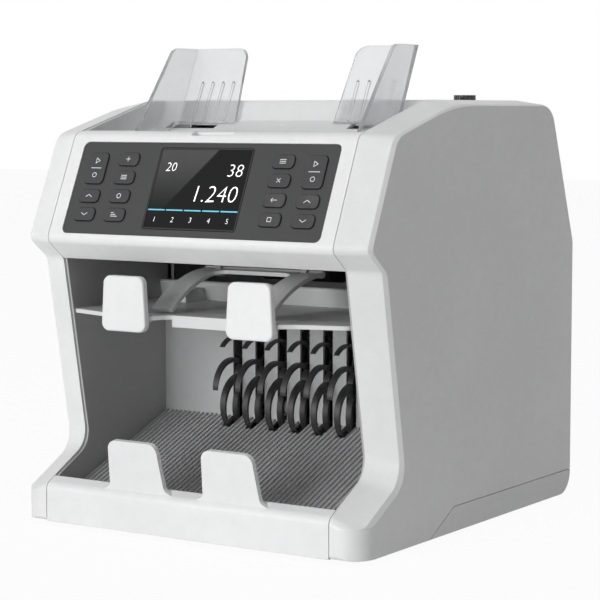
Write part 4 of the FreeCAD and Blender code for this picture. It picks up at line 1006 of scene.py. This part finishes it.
@dataclass
class Electrics(SubAssembly):
    """The boards, the power supply and what shows of them at the rear."""

    case: Finish = Metal("supply_case", (0.62, 0.63, 0.64), 0.4, grain=700.0, line_axis=Axis.Y)
    sockets: Finish = Finish("socket_plastic", (0.022, 0.022, 0.024), 0.45, edge=0.2 * MM)
    rocker: Finish = Finish("rocker_plastic", (0.03, 0.03, 0.032), 0.3, edge=0.3 * MM)
    ink: Finish = Ink("rocker_ink", (0.8, 0.8, 0.8), 0.5)
    board_thick: float = 1.8 * MM
    mark_away: float = 4.6 * MM
    mark_size: float = 1.3 * MM
    mark_width: float = 0.5 * MM
    mark_lift: float = 0.06 * MM
    look_from: float = 10.0 * MM

    def dress(self) -> None:
        """Gives the electrical CAD nodes their finishes."""
        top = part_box("mainboard")[0][Axis.Z.value] + self.board_thick
        coat(["mainboard"], Circuit("board_lacquer", (0.02, 0.13, 0.06), 0.35, top=top))
        coat(["power_supply"], self.case)
        coat(["power_inlet", "port_block"], self.sockets)
        coat(["power_switch"], self.rocker)

    def rocker_face(self, away: float) -> Sheet:
        """Finds the rear face of the rocker.

        Args:
            away: Height above the rocker's middle in metres.

        Returns:
            A drawing plane on the face, seen from behind.
        """
        low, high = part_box("power_switch")
        middle = (Vector(low) + Vector(high)) / 2
        start = Vector((middle.x, high[1] + self.look_from, middle.z + away))
        node = frame["nodes"]["power_switch"]
        _, spot, out, _ = node.ray_cast(start, FORWARD)
        return Sheet(spot, -RIGHT, out.cross(-RIGHT).normalized(), lift=self.mark_lift)

    def build(self) -> None:
        """Prints a bar and a ring on the power rocker."""
        ink = self.ink.material()
        sheet = self.rocker_face(self.mark_away)
        sheet.line((0.0, -self.mark_size), (0.0, self.mark_size), self.mark_width)
        sheet.finish("rocker_bar", "power_switch", ink)
        sheet = self.rocker_face(-self.mark_away)
        sheet.ring((0.0, 0.0), self.mark_size, self.mark_width)
        sheet.finish("rocker_ring", "power_switch", ink)


@dataclass
class Lamp:
    """One soft studio light."""

    name: str
    place: Vector
    size: float
    power: float
    target: Vector = field(default_factory=lambda: Vector((0.0, 0.0, 0.14)))

    def build(self) -> None:
        """Adds the light and turns it to its target."""
        bpy.ops.object.light_add(type="AREA", location=self.place)
        lamp = bpy.context.active_object
        lamp.name = self.name
        lamp.data.shape = "DISK"
        lamp.data.size = self.size
        lamp.data.energy = self.power
        lamp.rotation_euler = (self.target - self.place).to_track_quat("-Z", "Y").to_euler()


@dataclass
class Studio:
    """The pale floor, the light and the camera."""

    ambient: float = 0.19
    floor_size: float = 12.0
    floor_white: float = 0.95
    floor_tones: tuple[Colour, Colour] = ((0.76, 0.76, 0.76), (0.8, 0.8, 0.8))
    lens: float = 123.13
    sensor: float = 36.0
    nearest: float = 0.01
    camera_place: Vector = field(default_factory=lambda: Vector((0.7017, -1.07925, 0.2497)))
    camera_tilt: float = math.radians(90.0 - 5.1855)
    camera_turn: float = math.radians(33.16)

    def lamps(self) -> list[Lamp]:
        """Gives the studio's lights."""
        return [Lamp("key", Vector((-0.7, -2.1, 0.6)), 1.3, 20.0),
                Lamp("fill", Vector((-0.1, -2.2, 0.26)), 0.6, 10.0),
                Lamp("top", Vector((0.4, -0.2, 1.9)), 1.4, 8.0)]

    def backdrop(self) -> None:
        """Makes the world plain white to the eye and a soft grey light to the object."""
        world = bpy.data.worlds.new("studio")
        world.use_nodes = True
        bpy.context.scene.world = world
        graph = Graph(world.node_tree, "ShaderNodeOutputWorld")
        white = graph.add("ShaderNodeBackground", {"Color": WHITE, "Strength": 1.0})
        soft = graph.add("ShaderNodeBackground", {"Color": WHITE, "Strength": self.ambient})
        shown = graph.add("ShaderNodeMixShader", {0: graph.seen(), 1: soft, 2: white})
        graph.show(shown)

    def floor(self) -> None:
        """Lays a plain pale floor that is nearly white to the eye and still takes a faint shadow."""
        bpy.ops.object.select_all(action="DESELECT")
        bpy.ops.mesh.primitive_plane_add(size=self.floor_size)
        plane = bpy.context.active_object
        plane.name = "studio_floor"
        graph = MaterialGraph("pale_floor")
        graph.set(Base_Color=graph.mix(graph.noise(3.0, 2.0), *self.floor_tones), Roughness=0.9)
        white = graph.add("ShaderNodeEmission", {"Color": WHITE, "Strength": 1.0})
        share = graph.seen() * self.floor_white
        shown = graph.add("ShaderNodeMixShader", {0: share, 1: graph.surface, 2: white})
        graph.show(shown)
        plane.data.materials.append(graph.material)

    def camera(self) -> None:
        """Sets the camera to the photograph's view."""
        turn = Euler((self.camera_tilt, 0.0, self.camera_turn))
        bpy.ops.object.camera_add(location=self.camera_place, rotation=turn)
        camera = bpy.context.active_object
        camera.data.sensor_width = self.sensor
        camera.data.lens = self.lens
        camera.data.clip_start = self.nearest
        bpy.context.scene.camera = camera

    def build(self) -> None:
        """Builds the whole studio."""
        bpy.context.scene.view_settings.view_transform = "Standard"
        self.backdrop()
        self.floor()
        for lamp in self.lamps():
            lamp.build()
        self.camera()


def main() -> None:
    """Dresses the model, adds its printed marks and sets the studio."""
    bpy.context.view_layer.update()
    bpy.ops.object.select_all(action="DESELECT")
    for part in (Housing(), ControlPanel(), Pockets(), Hopper(), Mechanism(), Electrics()):
        part.dress()
        part.build()
        LOG.info("%s is done", type(part).__name__)
    Studio().build()


if __name__ == "__main__":
    main()
